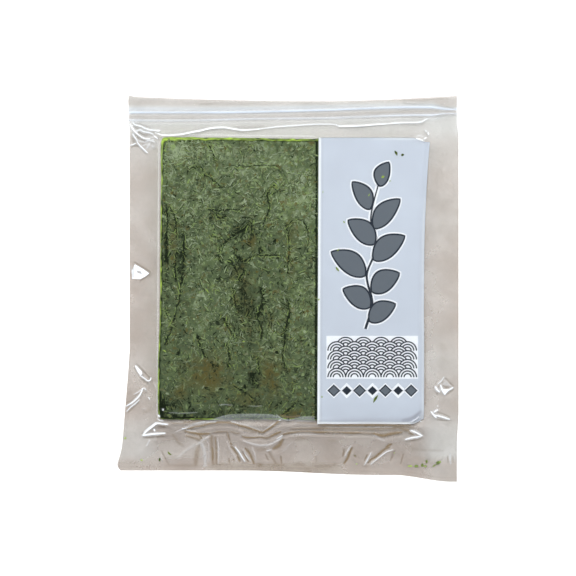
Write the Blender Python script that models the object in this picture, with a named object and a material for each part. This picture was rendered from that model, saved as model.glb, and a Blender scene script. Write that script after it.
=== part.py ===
"""Clear zip bag, lying flat and shut, packed with a stack of roasted nori sheets under a paper label.

The bag is one solid out to its film: a flat back, a low table over the stack, film that falls away
to the seals, and the folds that the slack film makes. The zip is a ribbed strip of its own, lying
in the channel that the two films leave for it. Metres; +X runs across the bag, +Y towards the zip
and +Z up, away from the table that the bag lies on.
"""
import bmesh
import bpy
import numpy as np

# The nori stack inside, which sets the size of everything else.
SHEET_WIDTH = 0.190
SHEET_HEIGHT = 0.210
SHEET_SPREAD = 0.002                 # how far the sheets stand out of line with each other
STACK_CENTRE = (0.0010, 0.0065)
STACK_TURN = np.radians(-0.75)       # the stack leans a little clockwise in the bag
STACK_TOP = 0.0050                   # film height over the stack
SHEET_WAVE = 0.00015

# The label overhangs the stack on the right and props the film up there.
LABEL_OVERHANG = 0.0080

# The bag's outline. Its upper edge sags, its lower edge droops to the right, and its left edge
# flares out towards the lower corner.
LEFT_X = -0.1170
RIGHT_X = 0.1256
SIDE_BOW = 0.0009                    # both sides bow outwards this much
TOP_LOW = (0.0300, 0.1392)           # lowest point of the upper edge
TOP_RISE_LEFT = 0.0042
TOP_RISE_RIGHT = 0.0036
BOTTOM_Y = -0.1350
BOTTOM_DROOP = 0.0034
BOTTOM_CORNER_DROOP = 0.0050
FLARE = 0.0092
FLARE_TOP_Y = -0.0450
FLARE_BOTTOM_Y = -0.1310
CORNER_KICK = 0.0018                 # upper left corner, just past the straight edge
LOWER_CORNER_CUT = 0.0030            # the lower left corner is nipped off

# Film heights away from the stack.
RIM_TOP = 0.00055                    # two sealed films at the outer edge
ZIP_SIDE_TOP = 0.0012                # film beside the zip
LIP_TOP = 0.0009                     # the open lip above the zip
SEAL_WIDTH = 0.0035                  # flat welded border
FALL = 1.55                          # how fast the film drops off the stack, 1 is a straight tent

# The zip strip and its channel.
ZIP_Y = 0.1290
ZIP_RISE = 0.0032                    # the strip bends up towards the right corner
ZIP_WIDTH = 0.0082
ZIP_UNDERSIDE = 0.0007
ZIP_TAPE_TOP = 0.0013
ZIP_RIDGE_TOP = 0.0024
ZIP_RIDGE_WIDTH = 0.0013
ZIP_RIDGE_GAP = 0.0056               # between the middles of the two ridges
CHANNEL_FLOOR = 0.0004
CLEARANCE = 0.0003
CHANNEL_WALL = 0.0001                # how far a channel wall leans

# Grid cells: across the bag, up its filled part, and up its lip.
ACROSS = 40
UP_BODY = 42
UP_LIP = 3
ZIP_ACROSS = 40


def ease(t):
    """Smooth step from 0 to 1 as t goes from 0 to 1."""
    t = np.clip(t, 0.0, 1.0)
    return t * t * (3.0 - 2.0 * t)


def side_bow(y):
    """How far a side stands out of the straight line between its corners."""
    return SIDE_BOW * np.cos(np.clip((y - 0.010) / 0.150, -1, 1) * np.pi / 2)


def left_edge(y):
    """X of the left edge: bowed, flaring below, kicked out at the upper corner, nipped below."""
    flare = FLARE * ease((FLARE_TOP_Y - y) / (FLARE_TOP_Y - FLARE_BOTTOM_Y))
    kick = CORNER_KICK * ease((y - 0.127) / 0.012)
    nip = LOWER_CORNER_CUT * ease((FLARE_BOTTOM_Y - y) / 0.005)
    return LEFT_X - side_bow(y) - flare - kick + nip


def right_edge(y):
    """X of the right edge: bowed."""
    return RIGHT_X + side_bow(y)


def top_edge(x):
    """Y of the upper edge: a parabola each side of its lowest point."""
    low_x, low_y = TOP_LOW
    left = TOP_RISE_LEFT * ((x - low_x) / (LEFT_X - low_x)) ** 2
    right = TOP_RISE_RIGHT * ((x - low_x) / (RIGHT_X - low_x)) ** 2
    return low_y + np.where(x < low_x, left, right)


def bottom_edge(x):
    """Y of the lower edge: level on the left, drooping to the right and again at the corner."""
    droop = BOTTOM_DROOP * ease((x + 0.030) / 0.100)
    corner = BOTTOM_CORNER_DROOP * ease((x - 0.080) / 0.042)
    return BOTTOM_Y - droop - corner


def zip_middle(x):
    """Y of the zip's middle line."""
    return ZIP_Y + ZIP_RISE * ease((x + 0.060) / 0.160)


def zip_side(x, sign):
    """Y of the channel's edge above (+1) or below (-1) the zip."""
    return zip_middle(x) + sign * (ZIP_WIDTH / 2 + CLEARANCE)


def stack_frame(x, y):
    """Coordinates in the stack's own turned frame."""
    dx, dy = x - STACK_CENTRE[0], y - STACK_CENTRE[1]
    cos, sin = np.cos(STACK_TURN), np.sin(STACK_TURN)
    return dx * cos + dy * sin, dy * cos - dx * sin


def outside_stack(x, y):
    """Distance outside the stack and its overhanging label, 0 on top of them."""
    sx, sy = stack_frame(x, y)
    half_width = (SHEET_WIDTH + SHEET_SPREAD) / 2
    half_height = (SHEET_HEIGHT + SHEET_SPREAD) / 2
    dx = np.maximum(np.maximum(sx - half_width - LABEL_OVERHANG * 0.5, -half_width - sx), 0.0)
    dy = np.maximum(np.abs(sy) - half_height, 0.0)
    return np.hypot(dx, dy)


def inside_seals(x, y):
    """Distance to the nearest seal or to the zip, 0 on the welded border."""
    nearest = np.minimum(x - left_edge(y), right_edge(y) - x)
    nearest = np.minimum(nearest, y - bottom_edge(x))
    seal = np.maximum(nearest - SEAL_WIDTH, 0.0)
    return np.minimum(seal, np.maximum(zip_side(x, -1) - y, 0.0))


def ridge(x, y, start, end, width):
    """1 along the line from start to end, falling off to 0 at about width to each side."""
    along = np.array(end) - np.array(start)
    t = ((x - start[0]) * along[0] + (y - start[1]) * along[1]) / (along @ along)
    t = np.clip(t, 0.0, 1.0)
    gap = np.hypot(x - start[0] - t * along[0], y - start[1] - t * along[1])
    return np.exp(-(gap / width) ** 2)


def slack(x, y):
    """Folds of the loose film: a shoulder above the stack, a web in each upper corner, a fan of
    folds down from the stack's lower edge and a dent in each side."""
    fold = 0.0009 * ridge(x, y, (-0.095, 0.1155), (0.080, 0.1230), 0.0035)
    for corner_x, side in ((-0.117, 1), (0.124, -1)):
        for reach, drop in ((0.024, 0.009), (0.027, 0.015), (0.013, 0.022)):
            fold += 0.0008 * ridge(x, y, (corner_x, 0.123), (corner_x + side * reach, 0.123 - drop), 0.003)
    for foot_x, head_x in ((-0.078, -0.060), (-0.055, -0.058), (-0.033, -0.045), (0.042, 0.048), (0.058, 0.078)):
        fold += 0.0008 * ridge(x, y, (foot_x, -0.126), (head_x, -0.110), 0.0032)
    for dent_x, dent_y in ((-0.108, 0.013), (0.116, -0.073)):
        fold -= 0.0010 * ridge(x, y, (dent_x, dent_y - 0.006), (dent_x, dent_y + 0.006), 0.006)
    return fold


def sheet_waves(x, y):
    """The roasted sheets aren't quite flat: long shallow waves that cross each other."""
    return SHEET_WAVE * (np.sin(x * 71.0 + 1.3) * np.sin(y * 53.0 + 0.4) + np.sin(x * 37.0 - y * 43.0) / 2)


def film_top(x, y):
    """Height of the upper film: a table over the stack that falls away to the seals and the zip."""
    out, room = outside_stack(x, y), inside_seals(x, y)
    share = room / np.maximum(out + room, 1e-6)
    rim = RIM_TOP + (ZIP_SIDE_TOP - RIM_TOP) * ease((y - 0.100) / 0.020)
    height = rim + (STACK_TOP + sheet_waves(x, y) - rim) * share ** FALL
    return height + slack(x, y) * ease(room / 0.006)


def lip_top(x, y):
    """Height of the open lip above the zip, which waves slightly."""
    return LIP_TOP + 0.0003 * np.sin(x * 60.0) * ease((y - zip_side(x, 1)) / 0.004)


def material(name, colour, roughness, alpha=1.0):
    """A plain Principled material."""
    made = bpy.data.materials.new(name)
    made.use_nodes = True
    shader = made.node_tree.nodes["Principled BSDF"]
    shader.inputs["Base Color"].default_value = (*colour, 1.0)
    shader.inputs["Roughness"].default_value = roughness
    shader.inputs["Metallic"].default_value = 0.0
    shader.inputs["Alpha"].default_value = alpha
    made.diffuse_color = (*colour, alpha)
    return made


def closed_sheet(name, points, underside, finish, home):
    """A solid from a sheet of points (columns, rows, 3): the sheet is its top, and its rim is drawn
    straight down to the underside and closed there with one flat face."""
    columns, rows = points.shape[0] - 1, points.shape[1] - 1
    form = bmesh.new()
    bmesh.ops.create_grid(form, x_segments=columns, y_segments=rows, size=0.5)
    for vertex in form.verts:
        column = round((vertex.co.x + 0.5) * columns)
        row = round((vertex.co.y + 0.5) * rows)
        vertex.co = points[column, row]
    rim = [edge for edge in form.edges if edge.is_boundary]
    drawn = bmesh.ops.extrude_edge_only(form, edges=rim)["geom"]
    for vertex in drawn:
        if isinstance(vertex, bmesh.types.BMVert):
            vertex.co.z = underside
    open_rim = [edge for edge in form.edges if edge.is_boundary]
    bmesh.ops.triangle_fill(form, edges=open_rim, use_beauty=True, use_dissolve=False)
    bmesh.ops.recalc_face_normals(form, faces=form.faces)
    mesh = bpy.data.meshes.new(name)
    form.to_mesh(mesh)
    form.free()
    mesh.shade_smooth()
    mesh.set_sharp_from_angle(angle=np.radians(35))
    solid = bpy.data.objects.new(name, mesh)
    solid.data.materials.append(finish)
    home.objects.link(solid)
    return solid


def bag_points():
    """The bag's upper side as rows of points from the lower edge, up over the stack, down into the
    zip's channel, out of it again and on to the edge of the lip."""
    across = np.linspace(0.0, 1.0, ACROSS + 1)
    guess_x = LEFT_X + (RIGHT_X - LEFT_X) * across

    def lay(y_line, height_of):
        """One row of points at height_of(x, y) along a line of Y values."""
        x = left_edge(y_line) + (right_edge(y_line) - left_edge(y_line)) * across
        return np.stack([x, y_line, height_of(x, y_line)], axis=-1)

    low, high = bottom_edge(guess_x), top_edge(guess_x)
    channel_low, channel_high = zip_side(guess_x, -1), zip_side(guess_x, 1)
    floor = np.vectorize(lambda x, y: CHANNEL_FLOOR)
    rows = [lay(low + (channel_low - low) * t, film_top) for t in np.linspace(0.0, 1.0, UP_BODY + 1)]
    rows.append(lay(channel_low + CHANNEL_WALL, floor))
    rows.append(lay(channel_high - CHANNEL_WALL, floor))
    rows += [lay(channel_high + (high - channel_high) * t, lip_top) for t in np.linspace(0.0, 1.0, UP_LIP + 1)]
    return np.stack(rows, axis=1)


def zip_points():
    """The zip strip's upper side: a flat tape with two rounded ridges along it."""
    across = np.linspace(0.0, 1.0, ZIP_ACROSS + 1)
    half_ridge = ZIP_RIDGE_WIDTH / 2
    ridge_steps = np.linspace(-1.0, 1.0, 5)
    stations = [(-ZIP_WIDTH / 2, ZIP_TAPE_TOP)]
    for middle in (-ZIP_RIDGE_GAP / 2, ZIP_RIDGE_GAP / 2):
        crown = ZIP_TAPE_TOP + (ZIP_RIDGE_TOP - ZIP_TAPE_TOP) * np.sqrt(1.0 - ridge_steps ** 2)
        stations += list(zip(middle + half_ridge * ridge_steps, crown))
    stations.append((ZIP_WIDTH / 2, ZIP_TAPE_TOP))
    rows = []
    for offset, height in stations:
        guess_x = LEFT_X + (RIGHT_X - LEFT_X) * across
        y = zip_middle(guess_x) + offset
        x = left_edge(y) + (right_edge(y) - left_edge(y)) * across
        rows.append(np.stack([x, y, np.full_like(x, height)], axis=-1))
    return np.stack(rows, axis=1)


def main():
    for old in list(bpy.data.objects):
        bpy.data.objects.remove(old, do_unlink=True)
    home = bpy.data.collections.new("nori_zip_bag")
    bpy.context.scene.collection.children.link(home)
    film = material("clear_film", (0.72, 0.70, 0.66), 0.12, 0.45)
    track = material("zip_track", (0.80, 0.80, 0.79), 0.25, 0.75)
    bag, strip = bag_points(), zip_points()
    outline = bag[..., :2].reshape(-1, 2)
    middle = (outline.min(axis=0) + outline.max(axis=0)) / 2
    for points in (bag, strip):
        points[..., :2] -= middle
    closed_sheet("bag", bag, 0.0, film, home)
    closed_sheet("zip", strip, ZIP_UNDERSIDE, track, home)


main()
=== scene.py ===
"""A clear zip bag lying flat, packed with a stack of roasted nori sheets under a printed paper label.

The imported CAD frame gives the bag's place and size. This script replaces its two solids with the
real pieces: two thin films with their creases and seals, the zip's ribbed profile, ten nori sheets
with the flakes and fibres of the top one, the label with its print, and loose crumbs of nori.
Lengths are metres unless a name ends in _mm or a comment says MM. +X runs across the bag, +Y
towards the zip and +Z up.
"""

import bpy
import numpy as np
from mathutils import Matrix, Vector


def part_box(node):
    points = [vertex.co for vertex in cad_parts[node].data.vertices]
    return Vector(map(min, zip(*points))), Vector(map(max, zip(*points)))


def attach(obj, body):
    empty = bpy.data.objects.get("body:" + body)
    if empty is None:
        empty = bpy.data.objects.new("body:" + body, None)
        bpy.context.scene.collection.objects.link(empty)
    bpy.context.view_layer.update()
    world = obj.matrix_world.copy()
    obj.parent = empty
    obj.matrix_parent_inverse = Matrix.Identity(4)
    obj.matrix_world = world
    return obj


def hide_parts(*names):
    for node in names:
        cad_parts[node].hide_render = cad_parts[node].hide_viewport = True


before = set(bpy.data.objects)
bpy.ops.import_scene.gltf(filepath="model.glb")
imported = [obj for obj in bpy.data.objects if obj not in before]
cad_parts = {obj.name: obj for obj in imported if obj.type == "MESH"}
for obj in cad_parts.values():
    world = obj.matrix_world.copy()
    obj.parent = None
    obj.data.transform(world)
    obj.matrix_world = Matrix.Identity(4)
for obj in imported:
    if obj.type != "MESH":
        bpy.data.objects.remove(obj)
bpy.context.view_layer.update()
BAG_LOW, BAG_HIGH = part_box("bag")
ZIP_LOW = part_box("zip")[0]

bl_info = {
    "name": "Nori zip bag",
    "version": (1, 0, 0),
    "blender": (4, 5, 0),
    "location": "View3D > Sidebar > Nori bag",
    "description": "Builds a clear zip bag of roasted nori sheets around its frame",
    "category": "Add Mesh",
}

MM = 0.001
BODY = "root"

# The stack's place in the bag.
STACK_X, STACK_Y = 0.1 * MM, 6.1 * MM
STACK_TURN, STACK_LEAN = np.radians(-0.70), np.radians(-0.36)      # of its lower side, of its left side
STACK_FOOT = 0.30 * MM
FILM_OVER_STACK = 5.0 * MM

# The bag's outline, as its frame has it.
LEFT_X = BAG_LOW.x + 9.0 * MM
RIGHT_X = BAG_HIGH.x - 0.5 * MM
SIDE_BOW = 1.1 * MM
RIGHT_BOW = 1.248 * MM
FLARE, FLARE_TOE = 7.7 * MM, 2.7 * MM
FLARE_TOP_Y, FLARE_BOTTOM_Y = -45.0 * MM, -132.0 * MM
CORNER_KICK = 1.3 * MM
CORNER_CUT = 2.6 * MM
TOP_LOW_X = 30.0 * MM
TOP_LOW_Y = BAG_HIGH.y - 3.1 * MM
TOP_RISE_LEFT, TOP_RISE_RIGHT = 3.5 * MM, 3.9 * MM
BOTTOM_Y = BAG_LOW.y + 7.2 * MM
BOTTOM_DROOP, BOTTOM_CORNER_DROOP = 3.4 * MM, 5.0 * MM
ZIP_RISE = 3.2 * MM
ZIP_WIDTH = 8.2 * MM
ZIP_Y = ZIP_LOW.y + ZIP_WIDTH / 2


# ---------------------------------------------------------------- plain numbers

def ease(t):
    """Smooth step: 0 below 0, 1 above 1, and 3t^2 - 2t^3 between them."""
    t = np.clip(t, 0.0, 1.0)
    return t * t * (3.0 - 2.0 * t)


def bell(distance, width):
    """1 at no distance, falling off as exp(-(distance / width)^2)."""
    return np.exp(-(distance / width) ** 2)


def past(length, start_mm, reach_mm):
    """Smooth step from 0 at the start to 1 a reach beyond it; a reach below 0 steps the other way."""
    return ease((length / MM - start_mm) / reach_mm)


def near(length, place_mm, width_mm):
    """The bell of a length's distance from a place."""
    return bell(length / MM - place_mm, width_mm)


def strongest_spot(x, y, spots):
    """Strongest of several oval bells: X, Y, half width and half height, all MM, and strength."""
    strongest = 0.0
    for x_mm, y_mm, half_x, half_y, strength in spots:
        reach = np.hypot((x / MM - x_mm) / half_x, (y / MM - y_mm) / half_y)
        strongest = np.maximum(strongest, strength * bell(reach, 1.0))
    return strongest


def soft_noise(x, y, cell, seed):
    """Smooth random field from 0 to 1: random values on a square lattice with that cell, eased
    between the four corners of each cell."""
    table = np.random.default_rng(seed).random((64, 64))
    u, v = x / cell + 311.7, y / cell + 173.3
    column, row = np.floor(u).astype(int), np.floor(v).astype(int)
    s, t = ease(u - column), ease(v - row)
    a, b = table[column % 64, row % 64], table[(column + 1) % 64, row % 64]
    c, d = table[column % 64, (row + 1) % 64], table[(column + 1) % 64, (row + 1) % 64]
    return (a * (1 - s) + b * s) * (1 - t) + (c * (1 - s) + d * s) * t


def layered_noise(x, y, cell, seed, octaves=3):
    """Sum of soft noises, each at half the cell and half the weight of the one before, from 0 to 1."""
    total, weight, norm = 0.0, 1.0, 0.0
    for octave in range(octaves):
        total = total + weight * soft_noise(x, y, cell / 2 ** octave, seed + octave)
        norm += weight
        weight *= 0.5
    return total / norm


def path_distance(x, y, points):
    """Shortest distance from each (x, y) to an open path, and how far along it that is, 0 to 1."""
    points = np.array(points, float)
    lengths = np.hypot(*np.diff(points, axis=0).T)
    ends = np.concatenate([[0.0], np.cumsum(lengths)])
    best = np.full(np.shape(x), np.inf)
    along = np.zeros(np.shape(x))
    for start, step, length, before in zip(points[:-1], np.diff(points, axis=0), lengths, ends):
        t = np.clip(((x - start[0]) * step[0] + (y - start[1]) * step[1]) / length ** 2, 0.0, 1.0)
        gap = np.hypot(x - start[0] - t * step[0], y - start[1] - t * step[1])
        nearer = gap < best
        best = np.where(nearer, gap, best)
        along = np.where(nearer, (before + t * length) / ends[-1], along)
    return best, along


def rounded_path(points, count=40):
    """A smooth curve through the points (Catmull-Rom), as count points."""
    points = np.array(points, float)
    padded = np.vstack([2 * points[0] - points[1], points, 2 * points[-1] - points[-2]])
    t = np.linspace(0, len(points) - 1, count)
    k = np.minimum(t.astype(int), len(points) - 2)
    s = (t - k)[:, None]
    p0, p1, p2, p3 = padded[k], padded[k + 1], padded[k + 2], padded[k + 3]
    return 0.5 * (2 * p1 + (p2 - p0) * s + (2 * p0 - 5 * p1 + 4 * p2 - p3) * s ** 2
                  + (3 * p1 - p0 - 3 * p2 + p3) * s ** 3)


def lines_near(x, y, lines, steps, more, reach):
    """For each drawn line of strength, width and points (MM): its strength and width, which of the
    (x, y) lie within that reach of widths round it, their distance from it and share of the way."""
    for strength, width, *points in lines:
        path = rounded_path(np.array(points) * MM, steps * len(points) + more)
        margin = reach * width * MM
        low, high = path.min(0) - margin, path.max(0) + margin
        close = (x > low[0]) & (x < high[0]) & (y > low[1]) & (y < high[1])
        yield strength, width * MM, close, *path_distance(x[close], y[close], path)


def graded(stops):
    """Grid stations from (start, end, spacing) stretches that follow each other."""
    parts = []
    for start, end, spacing in stops:
        count = max(1, int(round((end - start) / spacing)))
        parts.append(np.linspace(start, end, count, endpoint=False))
    return np.concatenate(parts + [[stops[-1][1]]])


# ---------------------------------------------------------------- the bag's outline

def side_bow(y):
    """How far the left side stands out of the line between its corners: 1 - t^4 along its height,
    and a bell near the zip."""
    return SIDE_BOW * (1 - np.clip((y - 10 * MM) / (150 * MM), -1, 1) ** 4) + 0.4 * MM * near(y, 112, 18)


def left_edge(y):
    """X of the left edge: bowed, flaring below, kicked out at the upper corner, nipped below."""
    flare = FLARE * np.clip((FLARE_TOP_Y - y) / (FLARE_TOP_Y - FLARE_BOTTOM_Y), 0, 1) ** 1.15
    flare = flare + FLARE_TOE * past(y - FLARE_BOTTOM_Y, 15, -18)
    kick = CORNER_KICK * past(y, 118, 8) + 0.4 * MM * past(y, 132, 8)
    return LEFT_X - side_bow(y) - flare - kick + CORNER_CUT * past(y - FLARE_BOTTOM_Y, 0, -5)


def right_edge(y):
    """X of the right edge: it stands out between the zip and the lower corner, eased at both ends."""
    belly = past(y, 126, -14) * past(y, -118, 26)
    return RIGHT_X + 0.5 * MM + RIGHT_BOW * belly


def top_edge(x):
    """Y of the lip's edge: a parabola each side of its lowest point."""
    left = TOP_RISE_LEFT * ((x - TOP_LOW_X) / (LEFT_X - TOP_LOW_X)) ** 2
    right = TOP_RISE_RIGHT * np.abs((x - TOP_LOW_X) / (RIGHT_X - TOP_LOW_X)) ** 1.5
    return TOP_LOW_Y + np.where(x < TOP_LOW_X, left, right) + 0.9 * MM * past(x - LEFT_X, 6, -7)


def bottom_edge(x):
    """Y of the lower edge: level on the left, drooping to the right and again at the corner."""
    droop = BOTTOM_DROOP * past(x, -30, 100)
    corner = BOTTOM_CORNER_DROOP * past(x, 80, 42)
    return BOTTOM_Y - droop - corner


def side_room(x, y):
    """Distance to the nearer of the two sides."""
    return np.minimum(x - left_edge(y), right_edge(y) - x)


def rim_room(x, y):
    """Distance to the nearest of the two sides and the lower edge."""
    return np.minimum(side_room(x, y), y - bottom_edge(x))


def zip_middle(x):
    """Y of the zip's middle line, which bends up towards the right corner."""
    return ZIP_Y + ZIP_RISE * past(x, -60, 160)


def to_stack(x, y):
    """Coordinates in the stack's own turned and slightly leaning frame, from its middle."""
    dx, dy = x - STACK_X, y - STACK_Y
    area = np.cos(STACK_TURN - STACK_LEAN)
    return ((dx * np.cos(STACK_LEAN) + dy * np.sin(STACK_LEAN)) / area,
            (dy * np.cos(STACK_TURN) - dx * np.sin(STACK_TURN)) / area)


def from_stack(u, v):
    """World X and Y of a point in the stack's own frame."""
    return (STACK_X + u * np.cos(STACK_TURN) - v * np.sin(STACK_LEAN),
            STACK_Y + u * np.sin(STACK_TURN) + v * np.cos(STACK_LEAN))


# ---------------------------------------------------------------- meshes

def new_piece(name, vertices, faces, finish, slot, fields=None, replaces=()):
    """A mesh object from arrays, riding on the body, with named point fields for its material."""
    mesh = bpy.data.meshes.new(name)
    vertices, faces = np.asarray(vertices, float), np.asarray(faces, int)
    mesh.vertices.add(len(vertices))
    mesh.vertices.foreach_set("co", vertices.ravel())
    mesh.loops.add(faces.size)
    mesh.loops.foreach_set("vertex_index", faces.ravel())
    mesh.polygons.add(len(faces))
    mesh.polygons.foreach_set("loop_start", np.arange(len(faces)) * faces.shape[1])
    mesh.update(calc_edges=True)
    mesh.shade_smooth()
    for field, values in (fields or {}).items():
        layer = mesh.attributes.new(field, "FLOAT", "POINT")
        layer.data.foreach_set("value", np.asarray(values, np.float32).ravel())
    mesh.materials.append(finish)
    mesh.validate()
    piece = bpy.data.objects.new(name, mesh)
    bpy.context.scene.collection.objects.link(piece)
    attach(piece, BODY)
    if replaces:
        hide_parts(*replaces)


def grid_faces(columns, rows, first=0):
    """Quads of a grid of columns by rows points, facing up for a grid laid out along +X and +Y."""
    index = first + np.arange(columns * rows).reshape(columns, rows)
    quads = np.stack([index[:-1, :-1], index[1:, :-1], index[1:, 1:], index[:-1, 1:]], axis=-1)
    return quads.reshape(-1, 4)


def slab(top, bottom):
    """A closed slab from two grids of points of the same shape: top facing up, bottom facing down,
    and a wall round their rims."""
    columns, rows = top.shape[:2]
    count = columns * rows
    index = np.arange(count).reshape(columns, rows)
    rim = np.concatenate([index[:-1, 0], index[-1, :-1], index[:0:-1, -1], index[0, :0:-1]])
    ahead = np.roll(rim, -1)
    wall = np.stack([rim, rim + count, ahead + count, ahead], axis=-1)[:, ::-1]
    faces = np.concatenate([grid_faces(columns, rows), grid_faces(columns, rows, count)[:, ::-1], wall])
    return np.concatenate([top.reshape(-1, 3), bottom.reshape(-1, 3)]), faces


def level_slab(x, y, z, thickness):
    """A closed slab from a grid of heights and the same grid one thickness lower."""
    top = np.stack([x, y, z], -1)
    return slab(top, top - [0, 0, thickness])


def both_sides(**fields):
    """Fields of a slab whose lower side repeats the upper side's values."""
    return {name: np.tile(np.ravel(values), 2) for name, values in fields.items()}


def many(template_points, template_faces, count):
    """Faces of count copies of one small mesh whose points are stacked one copy after another."""
    step = np.arange(count)[:, None, None] * template_points
    return (np.asarray(template_faces)[None] + step).reshape(-1, np.shape(template_faces)[1])


# ---------------------------------------------------------------- material helpers

class Nodes:
    """Short ways to add nodes to one material or group."""

    def __init__(self, tree):
        self.tree = tree

    def add(self, kind, **values):
        """A node of a kind, with its settings."""
        node = self.tree.nodes.new(kind)
        for key, value in values.items():
            setattr(node, key, value)
        return node

    def link(self, source, target):
        """Joins an output to an input."""
        self.tree.links.new(source, target)

    def feed(self, socket, item):
        """Sets a socket to a number or a colour, or links another socket to it."""
        if isinstance(item, (int, float)):
            socket.default_value = item
        elif hasattr(item, "__len__"):
            socket.default_value = (*item[:3], 1.0)
        else:
            self.link(item, socket)

    def field(self, name):
        """A point field of the mesh, as a number."""
        return self.add("ShaderNodeAttribute", attribute_name=name).outputs["Fac"]

    def value(self, operation, a, b=0.0, c=0.0, clamp=False):
        """One sum on numbers or sockets."""
        node = self.add("ShaderNodeMath", operation=operation, use_clamp=clamp)
        for socket, item in zip(node.inputs, (a, b, c)):
            self.feed(socket, item)
        return node.outputs[0]

    def mix(self, factor, a, b):
        """A colour between two, by a factor."""
        node = self.add("ShaderNodeMix", data_type="RGBA", clamp_result=True)
        for place, item in ((0, factor), (6, a), (7, b)):
            self.feed(node.inputs[place], item)
        return node.outputs[2]

    def ramp(self, source, low, high, out_low=0.0, out_high=1.0):
        """A smooth step between two values of its source."""
        node = self.add("ShaderNodeMapRange", interpolation_type="SMOOTHSTEP")
        for socket, item in zip(node.inputs, (source, low, high, out_low, out_high)):
            self.feed(socket, item)
        return node.outputs[0]

    def noise(self, scale, detail=3.0, roughness=0.55, stretch=(1, 1, 1), turn=0.0, distortion=0.0):
        """A noise fixed to the object, stretched and turned."""
        where = self.add("ShaderNodeTexCoord").outputs["Object"]
        mapping = self.add("ShaderNodeMapping")
        self.link(where, mapping.inputs["Vector"])
        mapping.inputs["Rotation"].default_value = (0, 0, turn)
        mapping.inputs["Scale"].default_value = stretch
        node = self.add("ShaderNodeTexNoise")
        self.link(mapping.outputs[0], node.inputs["Vector"])
        for label, item in (("Scale", scale), ("Detail", detail), ("Roughness", roughness),
                            ("Distortion", distortion)):
            self.feed(node.inputs[label], item)
        return node.outputs["Fac"]

    def blend(self, share, first, second):
        """A mix of two shaders' outputs, with the share of the second."""
        node = self.add("ShaderNodeMixShader")
        for socket, source in zip(node.inputs, (share, first, second)):
            self.link(source, socket)
        return node.outputs[0]

    def bump(self, height, strength, distance):
        """A normal bent by a height."""
        node = self.add("ShaderNodeBump")
        node.inputs["Strength"].default_value = strength
        node.inputs["Distance"].default_value = distance
        self.link(height, node.inputs["Height"])
        return node.outputs[0]


def blank_material(name):
    """A new node material with only its output, and the helper for its nodes."""
    material = bpy.data.materials.new(name)
    material.use_nodes = True
    material.node_tree.nodes.clear()
    nodes = Nodes(material.node_tree)
    return material, nodes, nodes.add("ShaderNodeOutputMaterial")


def new_group(name, inputs, outputs):
    """An empty shader node group with named float inputs, each with its default, and outputs, each
    FLOAT or COLOR; returned with the helper for its nodes and its two end nodes."""
    group = bpy.data.node_groups.new(name, "ShaderNodeTree")
    for label, default in inputs.items():
        socket = group.interface.new_socket(label, in_out="INPUT", socket_type="NodeSocketFloat")
        socket.default_value = default
    for label, kind in outputs.items():
        group.interface.new_socket(label, in_out="OUTPUT",
                                   socket_type="NodeSocketColor" if kind == "COLOR" else "NodeSocketFloat")
    nodes = Nodes(group)
    return group, nodes, nodes.add("NodeGroupInput").outputs, nodes.add("NodeGroupOutput").inputs


def place_group(nodes, group, given):
    """The outputs of a group placed in a material, its inputs set to numbers or linked to sockets."""
    node = nodes.add("ShaderNodeGroup", node_tree=group)
    for label, item in given.items():
        nodes.feed(node.inputs[label], item)
    return node.outputs


def principled(nodes, roughness, specular, **linked):
    """The output of a Principled shader, its plain numbers set on its own sockets and its base
    colour, uneven roughness and normal linked where they are given."""
    shader = nodes.add("ShaderNodeBsdfPrincipled")
    shader.inputs["Roughness"].default_value = roughness
    shader.inputs["Specular IOR Level"].default_value = specular
    for label, name in (("Base Color", "colour"), ("Roughness", "uneven"), ("Normal", "normal")):
        if name in linked:
            nodes.link(linked[name], shader.inputs[label])
    return shader.outputs[0]


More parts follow.
